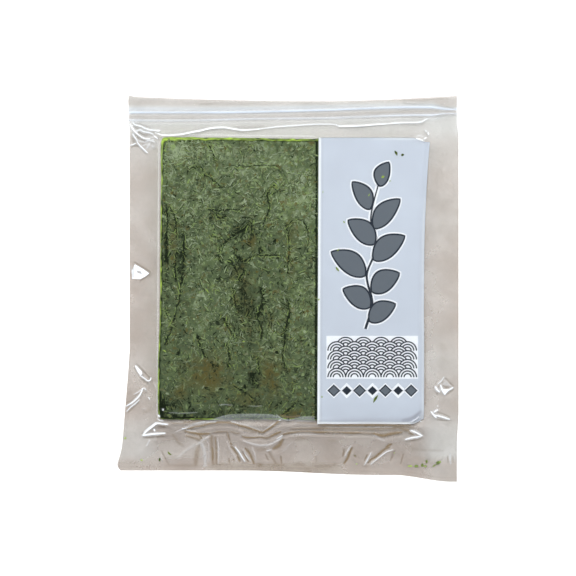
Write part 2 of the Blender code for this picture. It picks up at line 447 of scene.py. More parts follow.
def laver_group(colours):
    """Group: the look of roasted laver. Shade runs from dark gaps over green to pale fibres and is
    mottled by a noise and by thin streaks, the strongest of four stretched noises. Sap turns it
    yellow-green, brown toasts it in blotches and rim paints the bright cut-edge colour, a painted
    highlight on the sheets' cut rims. Gloss follows the shade."""
    found = bpy.data.node_groups.get("laver_look")
    if found:
        return found
    group, nodes, given, out = new_group(
        "laver_look", {"Shade": 0.5, "Sap": 0.0, "Brown": 0.0, "Rim": 0.0, "Mottling": 0.7, "Gloss": 0.5},
        {"Colour": "COLOR", "Relief": "FLOAT", "Roughness": "FLOAT"})
    strongest = None
    for turn in (0.35, 1.20, 2.05, 2.80):
        strokes = nodes.noise(260, 2.0, 0.6, stretch=(1.0, 6.0, 1.0), turn=turn, distortion=0.6)
        streak = nodes.ramp(strokes, 0.64, 0.78)
        strongest = streak if strongest is None else nodes.value("MAXIMUM", strongest, streak)
    mottle = nodes.value("SUBTRACT", nodes.noise(190, 5.0, 0.62), 0.5)
    shade = nodes.value("MULTIPLY_ADD", mottle, given["Mottling"], given["Shade"])
    shade = nodes.value("MULTIPLY_ADD", strongest, 0.22, shade)
    green = nodes.mix(nodes.ramp(shade, 0.05, 0.50), colours.nori_dark, colours.nori_green)
    green = nodes.mix(nodes.ramp(shade, 0.50, 1.00), green, colours.nori_pale)
    thin = nodes.value("MULTIPLY", given["Sap"], nodes.ramp(shade, 0.15, 0.80))
    green = nodes.mix(thin, green, colours.nori_sap)
    blotch = nodes.ramp(nodes.noise(170, 4.0), 0.28, 0.56)
    blotch = nodes.value("MULTIPLY", given["Brown"], blotch, clamp=True)
    toasted = nodes.value("MULTIPLY", blotch, nodes.ramp(shade, 0.10, 0.45))
    green = nodes.mix(toasted, green, colours.nori_brown)
    # Rim: painted highlight of the cut rims, in the cut_edge colour.
    nodes.link(nodes.mix(given["Rim"], green, colours.cut_edge), out["Colour"])
    nodes.link(nodes.value("MULTIPLY_ADD", strongest, 0.6, nodes.noise(1400, 4.0, 0.7)), out["Relief"])
    rougher = nodes.value("MULTIPLY_ADD", nodes.ramp(shade, 0.0, 1.0), -0.22, 0.10)
    nodes.link(nodes.value("ADD", rougher, given["Gloss"], clamp=True), out["Roughness"])
    return group


def nori_material(name, colours, gloss=0.58, mottled=0.7):
    """Roasted laver, by the fields shade, sap, brown and rim, with its fine relief as a bump."""
    found = bpy.data.materials.get(name)
    if found:
        return found
    material, nodes, out = blank_material(name)
    fields = {label: nodes.field(label.lower()) for label in ("Shade", "Sap", "Brown", "Rim")}
    look = place_group(nodes, laver_group(colours), {**fields, "Mottling": mottled, "Gloss": gloss})
    nodes.link(principled(nodes, gloss, 0.22, colour=look["Colour"], uneven=look["Roughness"],
                          normal=nodes.bump(look["Relief"], 0.55, 0.12 * MM)), out.inputs["Surface"])
    return material


def paper_tooth_group():
    """Group: the tooth of smooth paper, a fine noise as height, and its cloudy formation as a mask."""
    found = bpy.data.node_groups.get("paper_tooth")
    if found:
        return found
    group, nodes, given, out = new_group("paper_tooth", {"Cloud size": 60.0},
                                         {"Tooth": "FLOAT", "Cloud": "FLOAT"})
    nodes.link(nodes.noise(2600, 3.0, 0.6), out["Tooth"])
    nodes.link(nodes.ramp(nodes.noise(given["Cloud size"], 4.0, 0.6), 0.3, 0.7), out["Cloud"])
    return group


# White of the label's bright left cut edge and of the painted highlights along its other edges.
PAPER_EDGE_AND_HIGHLIGHT = (0.94, 0.98, 1.0)
PRINT_WHITE = (0.86, 0.90, 0.95)


def paper_material(name, colours):
    """Smooth cool-white label paper with a faint formation cloud and a fine tooth.
    Fields: dim (painted shade near its lower end and along its corner crease, a darker strip inside
    its left edge, a faint random cloud), edge (bright left cut edge, painted highlights on the others)."""
    material, nodes, out = blank_material(name)
    tooth = place_group(nodes, paper_tooth_group(), {"Cloud size": 60.0})
    base = nodes.mix(nodes.value("MULTIPLY", tooth["Cloud"], 0.10), colours.paper, colours.paper_shade)
    # Painted shade towards paper_shade by dim, and the cut edge and painted highlights by edge.
    base = nodes.mix(nodes.field("dim"), base, colours.paper_shade)
    base = nodes.mix(nodes.field("edge"), base, PAPER_EDGE_AND_HIGHLIGHT)
    uneven = nodes.ramp(tooth["Cloud"], 0.0, 1.0, 0.42, 0.54)
    nodes.link(principled(nodes, 0.48, 0.4, colour=base, uneven=uneven,
                          normal=nodes.bump(tooth["Tooth"], 0.15, 0.03 * MM)), out.inputs["Surface"])
    return material


def ink_material(name, colour, uneven):
    """Dull offset ink: its colour thins slightly in a soft cloud, and it follows the paper's tooth."""
    material, nodes, out = blank_material(name)
    tooth = place_group(nodes, paper_tooth_group(), {"Cloud size": 420.0})
    thin = nodes.value("MULTIPLY", tooth["Cloud"], uneven)
    pale = [min(1.0, 0.55 * c + 0.12) for c in colour[:3]]
    nodes.link(principled(nodes, 0.42, 0.45, colour=nodes.mix(thin, colour, pale),
                          uneven=nodes.ramp(tooth["Cloud"], 0.0, 1.0, 0.38, 0.55),
                          normal=nodes.bump(tooth["Tooth"], 0.12, 0.02 * MM)), out.inputs["Surface"])
    return material


def film_group(colours):
    """Group: the look of clear film. Tone runs from bluish at -1 over neutral to warm at 1,
    Fold_and_shade turns it into a dark line (painted shade, and the seal's own line) and glint into a
    white one (a painted highlight). Cover, how much of what lies under it is hidden, is the strongest
    of the smoky haze, the dark line and a steep power of the glint."""
    found = bpy.data.node_groups.get("film_look")
    if found:
        return found
    group, nodes, given, out = new_group(
        "film_look", {"Tone": 0.5, "Haze": 0.0, "Glint": 0.0, "Fold_and_shade": 0.0},
        {"Colour": "COLOR", "Cover": "FLOAT", "Roughness": "FLOAT", "Ripple": "FLOAT"})
    cool = nodes.value("MULTIPLY", given["Tone"], -1.0, clamp=True)
    tone = nodes.mix(cool, nodes.mix(given["Tone"], colours.film_light, colours.film_warm), colours.film_cool)
    dark = nodes.mix(given["Tone"], colours.film_shadow, colours.film_fold)
    colour = nodes.mix(nodes.ramp(given["Fold_and_shade"], 0.0, 0.25), tone, dark)
    glint = nodes.mix(cool, colours.film_glint, colours.film_cool)
    nodes.link(nodes.mix(nodes.ramp(given["Glint"], 0.0, 0.30), colour, glint), out["Colour"])
    smoke = nodes.ramp(nodes.noise(42, 4.0, 0.6), 0.3, 0.7, 0.85, 1.15)
    cover = nodes.value("MAXIMUM", nodes.value("MULTIPLY", given["Haze"], smoke),
                        nodes.value("MULTIPLY", given["Fold_and_shade"], 0.76))
    shine = nodes.value("MULTIPLY", nodes.value("POWER", given["Glint"], 2.5), 1.12)
    nodes.link(nodes.value("MAXIMUM", cover, shine, clamp=True), out["Cover"])
    nodes.link(nodes.ramp(given["Glint"], 0.0, 1.0, 0.12, 0.30), out["Roughness"])
    nodes.link(nodes.noise(180, 3.0, 0.5, stretch=(1, 0.35, 1)), out["Ripple"])
    return group


FILM_IOR, FILM_GLOSS = 1.5, 0.11


def film_material(name, colours, haze, glossy):
    """Clear film: a thin haze over a Transparent shader, and mirror gloss by Fresnel where it is
    glossy. Fields: tone (bluish to warm), veil (more haze), glint (painted highlight),
    fold (dark line: painted shade, and the seal's own line)."""
    material, nodes, out = blank_material(name)
    look = place_group(nodes, film_group(colours),
                       {"Tone": nodes.field("tone"), "Haze": nodes.value("ADD", nodes.field("veil"), haze),
                        "Glint": nodes.field("glint"), "Fold_and_shade": nodes.field("fold")})
    ripple = nodes.bump(look["Ripple"], 0.007, 0.10 * MM)
    haze_shader = principled(nodes, 0.14, 0.5, colour=look["Colour"], uneven=look["Roughness"], normal=ripple)
    surface = nodes.blend(look["Cover"], nodes.add("ShaderNodeBsdfTransparent").outputs[0], haze_shader)
    if glossy:
        fresnel = nodes.add("ShaderNodeFresnel")
        fresnel.inputs["IOR"].default_value = FILM_IOR
        gloss = nodes.add("ShaderNodeBsdfAnisotropic")
        gloss.inputs["Roughness"].default_value = FILM_GLOSS
        for node in (fresnel, gloss):
            nodes.link(ripple, node.inputs["Normal"])
        surface = nodes.blend(fresnel.outputs[0], surface, gloss.outputs[0])
    nodes.link(surface, out.inputs["Surface"])
    return material


def floor_material(name, colour):
    """Plain pale matt floor."""
    material, nodes, out = blank_material(name)
    cloudy = nodes.mix(nodes.ramp(nodes.noise(6, 3.0), 0.3, 0.7, 0.0, 0.04), colour, (0.9, 0.9, 0.9))
    nodes.link(principled(nodes, 0.85, 0.15, colour=cloudy), out.inputs["Surface"])
    return material


# ---------------------------------------------------------------- properties

def length(name, description, default):
    """A length property in metres."""
    return bpy.props.FloatProperty(name=name, description=description, default=default,
                                   unit="LENGTH", subtype="DISTANCE", precision=5)


def colour(name, description, default):
    """A colour property, linear."""
    return bpy.props.FloatVectorProperty(name=name, description=description, default=default,
                                         size=3, min=0.0, max=1.0, subtype="COLOR")


class NoriBagSizes(bpy.types.PropertyGroup):
    sheet_width: length("Sheet width", "Width of one full nori sheet", 0.190)
    sheet_height: length("Sheet height", "Height of one full nori sheet", 0.210)
    sheet_thickness: length("Sheet thickness", "Thickness of one roasted sheet", 0.00024)
    sheet_pitch: length("Sheet pitch", "Rise from one sheet to the next", 0.00042)
    sheet_count: bpy.props.IntProperty(name="Sheets", description="Sheets in the stack", default=10)
    label_width: length("Label width", "Width of the paper label along its foot", 0.07915)
    label_height: length("Label height", "Height of the paper label", 0.2136)


class NoriBagColours(bpy.types.PropertyGroup):
    nori_green: colour("Nori green", "Main colour of the sheets", (0.085, 0.119, 0.064))
    # Nori dark also colours the painted shadows by the label, inside the top rim and beside fibres.
    nori_dark: colour("Nori dark", "Gaps and pits", (0.004, 0.012, 0.001))
    nori_pale: colour("Nori pale", "Fibres that catch the light", (0.345, 0.420, 0.286))
    nori_sap: colour("Nori sap", "Thin laver with light in it", (0.240, 0.350, 0.100))
    nori_brown: colour("Nori brown", "Toasted patches", (0.112, 0.100, 0.028))
    # Cut edge: painted highlight where light falls on the sheets' cut rims; it also tints pale crumbs.
    cut_edge: colour("Cut edge", "Cut rim of a sheet", (0.530, 0.770, 0.120))
    paper: colour("Paper", "Label paper", (0.584, 0.642, 0.724))
    paper_shade: colour("Paper shade", "Label paper where it is dimmer", (0.400, 0.428, 0.498))
    ink_grey: colour("Grey ink", "Fill of the printed leaves", (0.140, 0.170, 0.205))
    ink_dark: colour("Dark ink", "Outlines of the print", (0.012, 0.022, 0.040))
    film_light: colour("Film light", "Haze of the film near the zip", (0.660, 0.672, 0.662))
    film_warm: colour("Film warm", "Haze of the film lower down", (0.486, 0.412, 0.357))
    # Colours of the dark lines: painted shade along folds and by the label, and the seal's own line.
    film_fold: colour("Film fold", "Lines of the film's folds low down", (0.245, 0.168, 0.078))
    film_shadow: colour("Film shadow", "Lines of the film's folds near the zip", (0.360, 0.350, 0.330))
    film_cool: colour("Film cool", "Bluish haze and glints along the zip", (0.740, 0.850, 1.000))
    film_glint: colour("Film glint", "Creases that throw light", (0.890, 0.945, 1.000))
    floor: colour("Floor", "Floor under the bag", (0.96, 0.96, 0.96))


# ---------------------------------------------------------------- the stack of sheets

SHEET_WAVE = 0.15 * MM
LAVER_RELIEF = 0.10 * MM
CORNER_RADIUS = 3.4 * MM
RAGGED = 1.5 * MM                   # how far the cut edge wanders
# Widths of the painted highlight on the top sheet's cut rim and of the painted shadow inside it.
RIM_WIDTH = 0.70 * MM
RIM_SHADOW = 1.6 * MM
SIDE_BULGE, SIDE_BULGE_V, SIDE_BULGE_REACH = 1.5 * MM, -76.0 * MM, 32.0 * MM    # of the stack's left side
FOOT_SHORT, HEAD_LONG = 1.3 * MM, 0.35 * MM      # the pile is this much shorter below, longer above
FOOT_SLANT = 0.7 * MM                # and this much less short at its lower left
TOP_SHEET_PULL = 1.05 * MM           # the top sheet is pulled down, which bares the rims above
SEED = 20


def sheet_waves(x, y):
    """Long shallow waves of the roasted sheets that cross each other."""
    return SHEET_WAVE * (np.sin(x * 71.0 + 1.3) * np.sin(y * 53.0 + 0.4) + np.sin(x * 37.0 - y * 43.0) / 2)


def stack_height(sizes, x, y, level=None):
    """Height of a sheet's upper side: its level in the stack, plus waves that grow with the level."""
    level = sizes.sheet_count - 1 if level is None else level
    rise = STACK_FOOT + level * sizes.sheet_pitch + sizes.sheet_thickness
    return rise + sheet_waves(x, y) * (level + 1) / sizes.sheet_count


# Cracks of the top sheet, where the drying mat and its folds broke it: strength, width (MM) and
# points (MM in the bag's frame).
CRACKS = (
    (0.8, 1, (-72, 89.8), (-64.4, 90.4), (-63, 85.7), (-57.4, 81.8), (-49, 75)),
    (0.6, 0.9, (-59.5, 107), (-53.6, 97)),
    (1, 1.2, (-14.1, 75), (-15.2, 67), (-14, 59.4), (-17, 51.6), (-18.4, 46)),
    (0.8, 0.9, (-13.6, 69.8), (-8, 72), (-2.5, 72.8)), (0.7, 0.8, (-13.4, 74), (-8.6, 78.4)),
    (0.8, 1, (-59, 58.8), (-50, 58), (-42, 58.9), (-35, 58.3)),
    (0.9, 1.4, (-54.6, 56), (-51, 52.6), (-46.6, 54.2)),
    (1, 1.7, (-29.8, 48), (-34, 43.6), (-38, 41), (-44.3, 36.6), (-50.5, 31)),
    (0.7, 0.9, (-50, 37.6), (-57, 39)), (0.9, 1.1, (-51, 30.6), (-51.6, 24.5)),
    (0.8, 1, (-28.8, 52), (-27, 45), (-27.6, 40.6)),
    (1, 1.2, (-40, 26.4), (-36, 22.4), (-33, 20.6), (-29, 22.8), (-24.6, 24.8)),
    (0.7, 0.8, (-25, 24.4), (-14, 24.8), (-2.5, 24.2)), (0.8, 1.2, (-43, 21), (-38, 13), (-34.6, 6)),
    (0.7, 1, (-31.8, 14.4), (-36.6, 6.6)), (1, 1.2, (-90.8, 63), (-89.8, 51), (-90.8, 39), (-89.9, 20.4)),
    (0.8, 0.9, (-88.6, 61.4), (-84, 51.6), (-83, 39)),
    (0.9, 1.3, (-78.4, 41.6), (-77.4, 30), (-77.8, 20.6), (-79.2, 4)),
    (0.8, 1, (-83, 28), (-84, 16), (-83.6, 5)),
    (0.9, 1.1, (-80, 5), (-80.2, -4.6), (-84, -20), (-87.7, -32.5), (-91.8, -42)),
    (0.6, 0.8, (-92.3, -15), (-86, -28)), (0.7, 1.1, (-1.7, 48), (0.8, 33), (-0.1, 12)),
    (0.5, 0.8, (-1.7, 47), (6.8, 51.8), (13, 47), (15.4, 36.2), (11.5, 26.6)),
    (1, 2.1, (0, -8.6), (0.8, -20), (-1.8, -29.4), (-2.6, -42)),
    (0.7, 0.9, (-2.8, -42), (-4.2, -50), (-2.5, -59)), (0.9, 1.7, (-67.6, -35), (-66, -42), (-62, -50.6)),
    (0.8, 1.3, (-45.8, -41), (-43.4, -51), (-45.2, -60.6)),
    (0.7, 1.3, (-49, -21.4), (-45, -28), (-40.2, -36)),
    (0.9, 1.3, (-21, 2), (-19.3, -10.8), (-22.6, -21.7), (-19.3, -31), (-20.4, -39)),
    (0.7, 1, (-41.4, 0.4), (-40, -7), (-38.6, -14.2)), (0.8, 1.1, (-22.8, -51), (-20.9, -63.6)),
    (0.8, 2.2, (-28, -64), (-25.4, -71)), (0.9, 1.2, (-4.4, -94), (0.6, -90.6), (5.4, -85)),
    (0.6, 0.9, (-92, -83), (-91, -91), (-82, -95.6), (-64.4, -97)),
    (0.6, 1.4, (-40.6, -73), (-33, -77), (-25, -82.4)),
    (0.5, 0.8, (-45, 91.6), (-33, 91), (-20, 91.8), (-5, 91.2)),
)
CRACK_STEPS = 34

# Rows of bright flecks left by the mat's threads: from x, to x, y (MM) and how many.
FLECK_ROWS = (
    (-36, -2, 92.6, 26), (-86, -28, 59.8, 44), (-37, 14, 26.2, 34), (-44, -26, -39.6, 16),
    (-66, -50, 77.6, 8), (-80, -62, -83.5, 8),
)

# Toasted patches of the top sheet: middle, half width, half height (MM) and strength.
BROWN_PATCHES = (
    (-60.5, -64, 15, 12.5, 1.15), (-12.5, -66, 8.5, 14, 1.15), (-80, -77, 5, 6, 0.9),
    (-27, 35, 3.4, 4.4, 1.2), (-86, 36, 2.6, 15, 0.9), (-33.5, 4, 6, 8, 0.7), (-39, -8, 2.5, 5, 0.8),
    (2.5, 41, 5, 9, 0.5), (-13.4, -25, 2.2, 5.4, 0.6), (-29, -82, 11, 6, 0.6), (-35, 11, 7, 6, 0.6),
    (-33, 106, 7, 4, 0.35), (3.5, -93, 6.5, 2.2, 1), (-31, -14, 5, 17, 0.5), (2, 18, 3, 10, 0.5),
    (-46, -27, 4, 5, 0.4), (-86, -30, 4, 9, 0.3),
)
DARK_PATCHES = (
    (-30, -14, 9.5, 25, 0.68), (-32.5, 42, 11, 9, 0.65), (-38, 14, 8, 9, 0.55), (-80.5, 24, 3.6, 30, 0.45),
    (-91, 30, 2, 34, 0.55), (-25, -66, 6, 9, 0.45), (-88, -88, 9, 6, 0.55), (-60, -94, 26, 4, 0.45),
    (-52, 56, 12, 5, 0.35), (-20, -86, 30, 5, 0.3), (-66, 88, 9, 5, 0.35), (8, 105, 7, 3, 0.3),
    (-94.2, -92.5, 1.9, 6, 2.6), (-95.6, -80, 1.2, 3, 2.4),
)
PALE_PATCHES = (
    (-84, 101, 11, 9, 0.85), (-62, 103, 12, 5, 0.45), (8, 68, 12, 34, 0.3), (-28, 94, 20, 9, 0.3),
    (-64, -14, 17, 24, 0.28), (8, -22, 10, 34, 0.28), (-64, 30, 12, 22, 0.2), (-66, 66, 14, 14, 0.2),
)
SMOOTH_PATCHES = (
    (10, 62, 12, 36, 1), (-63, -20, 18, 22, 0.6), (10, -34, 10, 40, 0.8), (-60, -64, 14, 12, 0.5),
    (-66, 20, 10, 16, 0.4), (-30, -14, 8, 20, 0.5), (-86, -72, 8, 22, 0.7), (-30, -66, 6, 12, 0.3),
)


def furrows(x, y):
    """Grooves along the cracks, 0 to 1: a bell across each crack's path."""
    groove = np.zeros(np.shape(x))
    for strength, width, close, gap, _ in lines_near(x, y, CRACKS, 5, 0, 2.4):
        groove[close] = np.maximum(groove[close], strength * bell(gap, 0.85 * width))
    return groove


def patches(x, y, spots, seed):
    """Soft uneven patches: the strongest spot's bell, broken up by noise."""
    return strongest_spot(x, y, spots) * (0.45 + 1.1 * layered_noise(x, y, 5 * MM, seed))


def roughness_of(x, y):
    """How broken up the top sheet is, 0 to 1: noise, less in the smooth patches."""
    broken = ease((layered_noise(x, y, 17 * MM, SEED + 64, 3) - 0.34) / 0.30)
    return np.clip(0.15 + 0.85 * broken - 0.75 * strongest_spot(x, y, SMOOTH_PATCHES), 0.04, 1.0)


def top_shade(x, y):
    """Dark to pale of the top sheet, 0 to 1: cloudy laver, dark patches and cracks, a painted
    highlight that pales it higher up, and a painted shadow of the label's left edge with a lighter
    line beside it low down.
    """
    cloud = layered_noise(x, y, 10 * MM, SEED, 4)
    grit = layered_noise(x, y, 2.2 * MM, SEED + 9, 3)
    shade = 0.485 + 0.15 * (cloud - 0.5) + 0.34 * (grit - 0.5)
    # Painted light: paler towards the top, darker towards the foot.
    shade = shade + 0.09 * past(y, 20, 60) - 0.05 * past(y, -35, -55)
    shade = shade - patches(x, y, DARK_PATCHES, SEED + 20) * 0.40
    shade = shade + patches(x, y, PALE_PATCHES, SEED + 30) * 0.30
    # Painted shadow of the label's left edge on the sheet, and a lighter line beside it low down.
    seam = x - 21.0 * MM - 0.3 * MM * (y + 20 * MM) / (80 * MM)
    low = past(y, 30, -20)
    return shade - 0.34 * furrows(x, y) - 1.2 * near(seam, 0, 0.55) + 0.24 * low * near(seam, -1.9, 0.5)


def laver_relief(x, y):
    """Bumps of the top sheet's laver, with its grooves cut in."""
    return LAVER_RELIEF * (layered_noise(x, y, 4 * MM, SEED + 5, 3) - 0.5 - furrows(x, y))


def sheet_grid(sizes, columns, ragged_seed, shift=(0.0, 0.0), turn=0.0, pull_down=0.0):
    """Plan of a sheet in world X and Y, with slightly ragged edges and a left side that bulges in a
    bell low down, and the distance to its border."""
    half_w, half_h = sizes.sheet_width / 2, sizes.sheet_height / 2
    fine, coarse = 0.45 * MM, 2 * half_w / columns * 1.12
    u, v = (graded([(-half, 4 * MM - half, fine), (4 * MM - half, half - 4 * MM, coarse),
                    (half - 4 * MM, half, fine)]) for half in (half_w, half_h))
    u, v = np.meshgrid(u, v, indexing="ij")
    border = np.minimum(half_w - np.abs(u), half_h - np.abs(v))
    a = np.maximum(np.abs(u) - half_w + CORNER_RADIUS, 0.0)
    b = np.maximum(np.abs(v) - half_h + CORNER_RADIUS, 0.0)
    inwards = 1.0 - np.maximum(a, b) / np.maximum(np.hypot(a, b), 1e-9)
    inwards = np.where(np.minimum(a, b) > 0, inwards, 0.0)
    ragged = (layered_noise(u, v, 4.5 * MM, ragged_seed, 4) - 0.5) * RAGGED
    pull = near(border, 0, 1.2)
    u = u - np.sign(u) * (a * inwards + ragged * pull * (half_w - np.abs(u) < 2 * MM))
    v = v - np.sign(v) * (b * inwards + ragged * pull * (half_h - np.abs(v) < 2 * MM))
    u = u - SIDE_BULGE * bell(v - SIDE_BULGE_V, SIDE_BULGE_REACH) * past(u + half_w, 9, -8)
    wave = layered_noise(u, v, 26 * MM, ragged_seed + 200, 2) - 0.5
    v = v + 0.9 * MM * wave * past(np.abs(v) - half_h, -9, 8)
    foot = FOOT_SHORT - FOOT_SLANT * past(u, -15, -50)
    head = HEAD_LONG - pull_down * (0.7 + wave)
    v = v + foot * ease(-v / half_h) + head * ease(v / half_h)
    u, v = u * np.cos(turn) - v * np.sin(turn) + shift[0], u * np.sin(turn) + v * np.cos(turn) + shift[1]
    x, y = from_stack(u, v)
    return x, y, border


def fading_rim_light(y):
    """How bright the painted highlight on the cut rims stays: less towards the foot of the stack."""
    return 1 - 0.45 * past(y, -60, -30)


def make_plain_sheets(sizes, colours):
    """Every sheet under the top one is a closed slab: a grid over its plan, raised by the stack's
    waves, and the same grid one thickness lower. Each is shifted and turned a little."""
    random = np.random.default_rng(SEED)
    plain = nori_material("nori_sheet", colours)
    for level in range(sizes.sheet_count - 1):
        shift = random.uniform(-0.35, 0.35, 2) * MM + np.array([-0.15, 0.10]) * MM
        x, y, border = sheet_grid(sizes, 72, SEED + 40 + level, shift, random.uniform(-0.002, 0.002))
        z = stack_height(sizes, x, y, level) + 0.10 * MM * (layered_noise(x, y, 9 * MM, level, 2) - 0.5)
        points, faces = level_slab(x, y, z, sizes.sheet_thickness)
        shade = 0.45 + 0.3 * (layered_noise(x, y, 6 * MM, level + 3) - 0.5)
        # Painted highlight on the bared cut rims, brighter towards the left and fading towards the foot.
        rim = 2.6 * layered_noise(x, y, 2.6 * MM, level + 80) - 0.62 - 0.25 * past(x, -60, 50)
        rim = rim * past(border, 2.7, -1.5) * fading_rim_light(y)
        fields = both_sides(shade=shade, rim=rim, brown=np.zeros(shade.size), sap=np.zeros(shade.size))
        new_piece(f"nori_sheet_{level + 1:02d}", points, faces, plain, "nori", fields)


def make_top_sheet(sizes, colours):
    """The top sheet: a slab like the others, with a fine grid, its laver's relief and a droop at its
    border. Its cut rim carries a painted highlight in uneven stretches, with a painted shadow inside it."""
    x, y, border = sheet_grid(sizes, 215, SEED + 60, pull_down=TOP_SHEET_PULL)
    shade = top_shade(x, y)
    z = stack_height(sizes, x, y) + laver_relief(x, y) - 0.25 * MM * near(border, 0, 2.5)
    points, faces = level_slab(x, y, z, sizes.sheet_thickness)
    crumble = layered_noise(x, y, 2.6 * MM, SEED + 61, 3)
    at_top = past(y, 98, 8)
    at_left_corner = near(np.hypot(x + 86 * MM, y - 111 * MM), 0, 14)
    inner = border - 1.2 * MM * at_left_corner
    # Painted shadow just inside the rim, stronger at the top and set further in at the upper left corner.
    shadow = past(inner, 0, 0.5) * past(inner - RIM_SHADOW * (0.7 + 0.8 * crumble), 0, -0.8)
    shade = shade - (0.42 + 0.20 * at_top) * (0.3 + crumble) * shadow
    # Painted highlight on the cut rim, wider at the top and at the upper left corner.
    thin = layered_noise(x, y, 5.0 * MM, SEED + 62, 3)
    width = RIM_WIDTH * (1.0 + 0.9 * at_top * crumble + 1.5 * at_left_corner)
    rim = ease(0.25 + 1.5 * thin - border / width) * (0.10 + 1.1 * thin) * fading_rim_light(y)
    fields = both_sides(shade=shade, rim=rim, brown=patches(x, y, BROWN_PATCHES, SEED + 50),
                        sap=0.4 * layered_noise(x, y, 8 * MM, SEED + 63))
    new_piece("nori_top_sheet", points, faces, nori_material("nori_sheet", colours), "nori", fields)


# ---------------------------------------------------------------- flakes and fibres of the top sheet

FLAKES, BOLD_FIBRES, FINE_FIBRES, FREE_SLITS, SMALL_CRACKS, FLECKS = 6500, 4600, 12000, 6000, 620, 1300
FLAKE_SIDES = 9
WALK_STEPS = 8
FLAKES_REACH_X = 26 * MM            # they end under the label


def ribbons(centre, width, lift, base_height, bed=0.02 * MM):
    """Many narrow ribbons at once. centre holds each ribbon's middle line as steps of X and Y, and
    width its width at each step; three points go across it and the middle one stands up by lift.
    Their sides lie on a bed above the base height."""
    ahead = np.gradient(centre, axis=1)
    ahead = ahead / np.maximum(np.hypot(ahead[..., 0], ahead[..., 1]), 1e-9)[..., None]
    across = np.array([-0.5, 0.0, 0.5])[None, None, :] * width[..., None]
    px = centre[..., 0, None] - across * ahead[..., 1, None]
    py = centre[..., 1, None] + across * ahead[..., 0, None]
    dome = np.array([0.0, 1.0, 0.0]) * np.broadcast_to(lift, width.shape)[..., None]
    pz = base_height(px, py) + bed + dome
    count, steps = width.shape
    points = np.stack([px, py, pz], -1).reshape(-1, 3)
    return points, many(steps * 3, grid_faces(steps, 3)[:, ::-1], count), steps * 3


def strands(x, y, angle, length_of, width, bend, lift, base_height, steps=4, bed=0.02 * MM):
    """Many small fibres as ribbons: each runs along its angle, bent by a parabola, as wide as a
    cosine arch and raised by one."""
    t = np.linspace(-1, 1, steps)[None]
    given = (angle, length_of, width, bend, lift)
    angle, length_of, width, bend, lift = (np.asarray(values, float)[:, None] for values in given)
    along, sideways = t * length_of / 2, bend * length_of * (t ** 2 - 0.5)
    centre = np.stack([x[:, None] + along * np.cos(angle) - sideways * np.sin(angle),
                       y[:, None] + along * np.sin(angle) + sideways * np.cos(angle)], -1)
    arch = np.cos(t * np.pi / 2 * 0.90)
    return ribbons(centre, width * arch, lift * arch, base_height, bed)


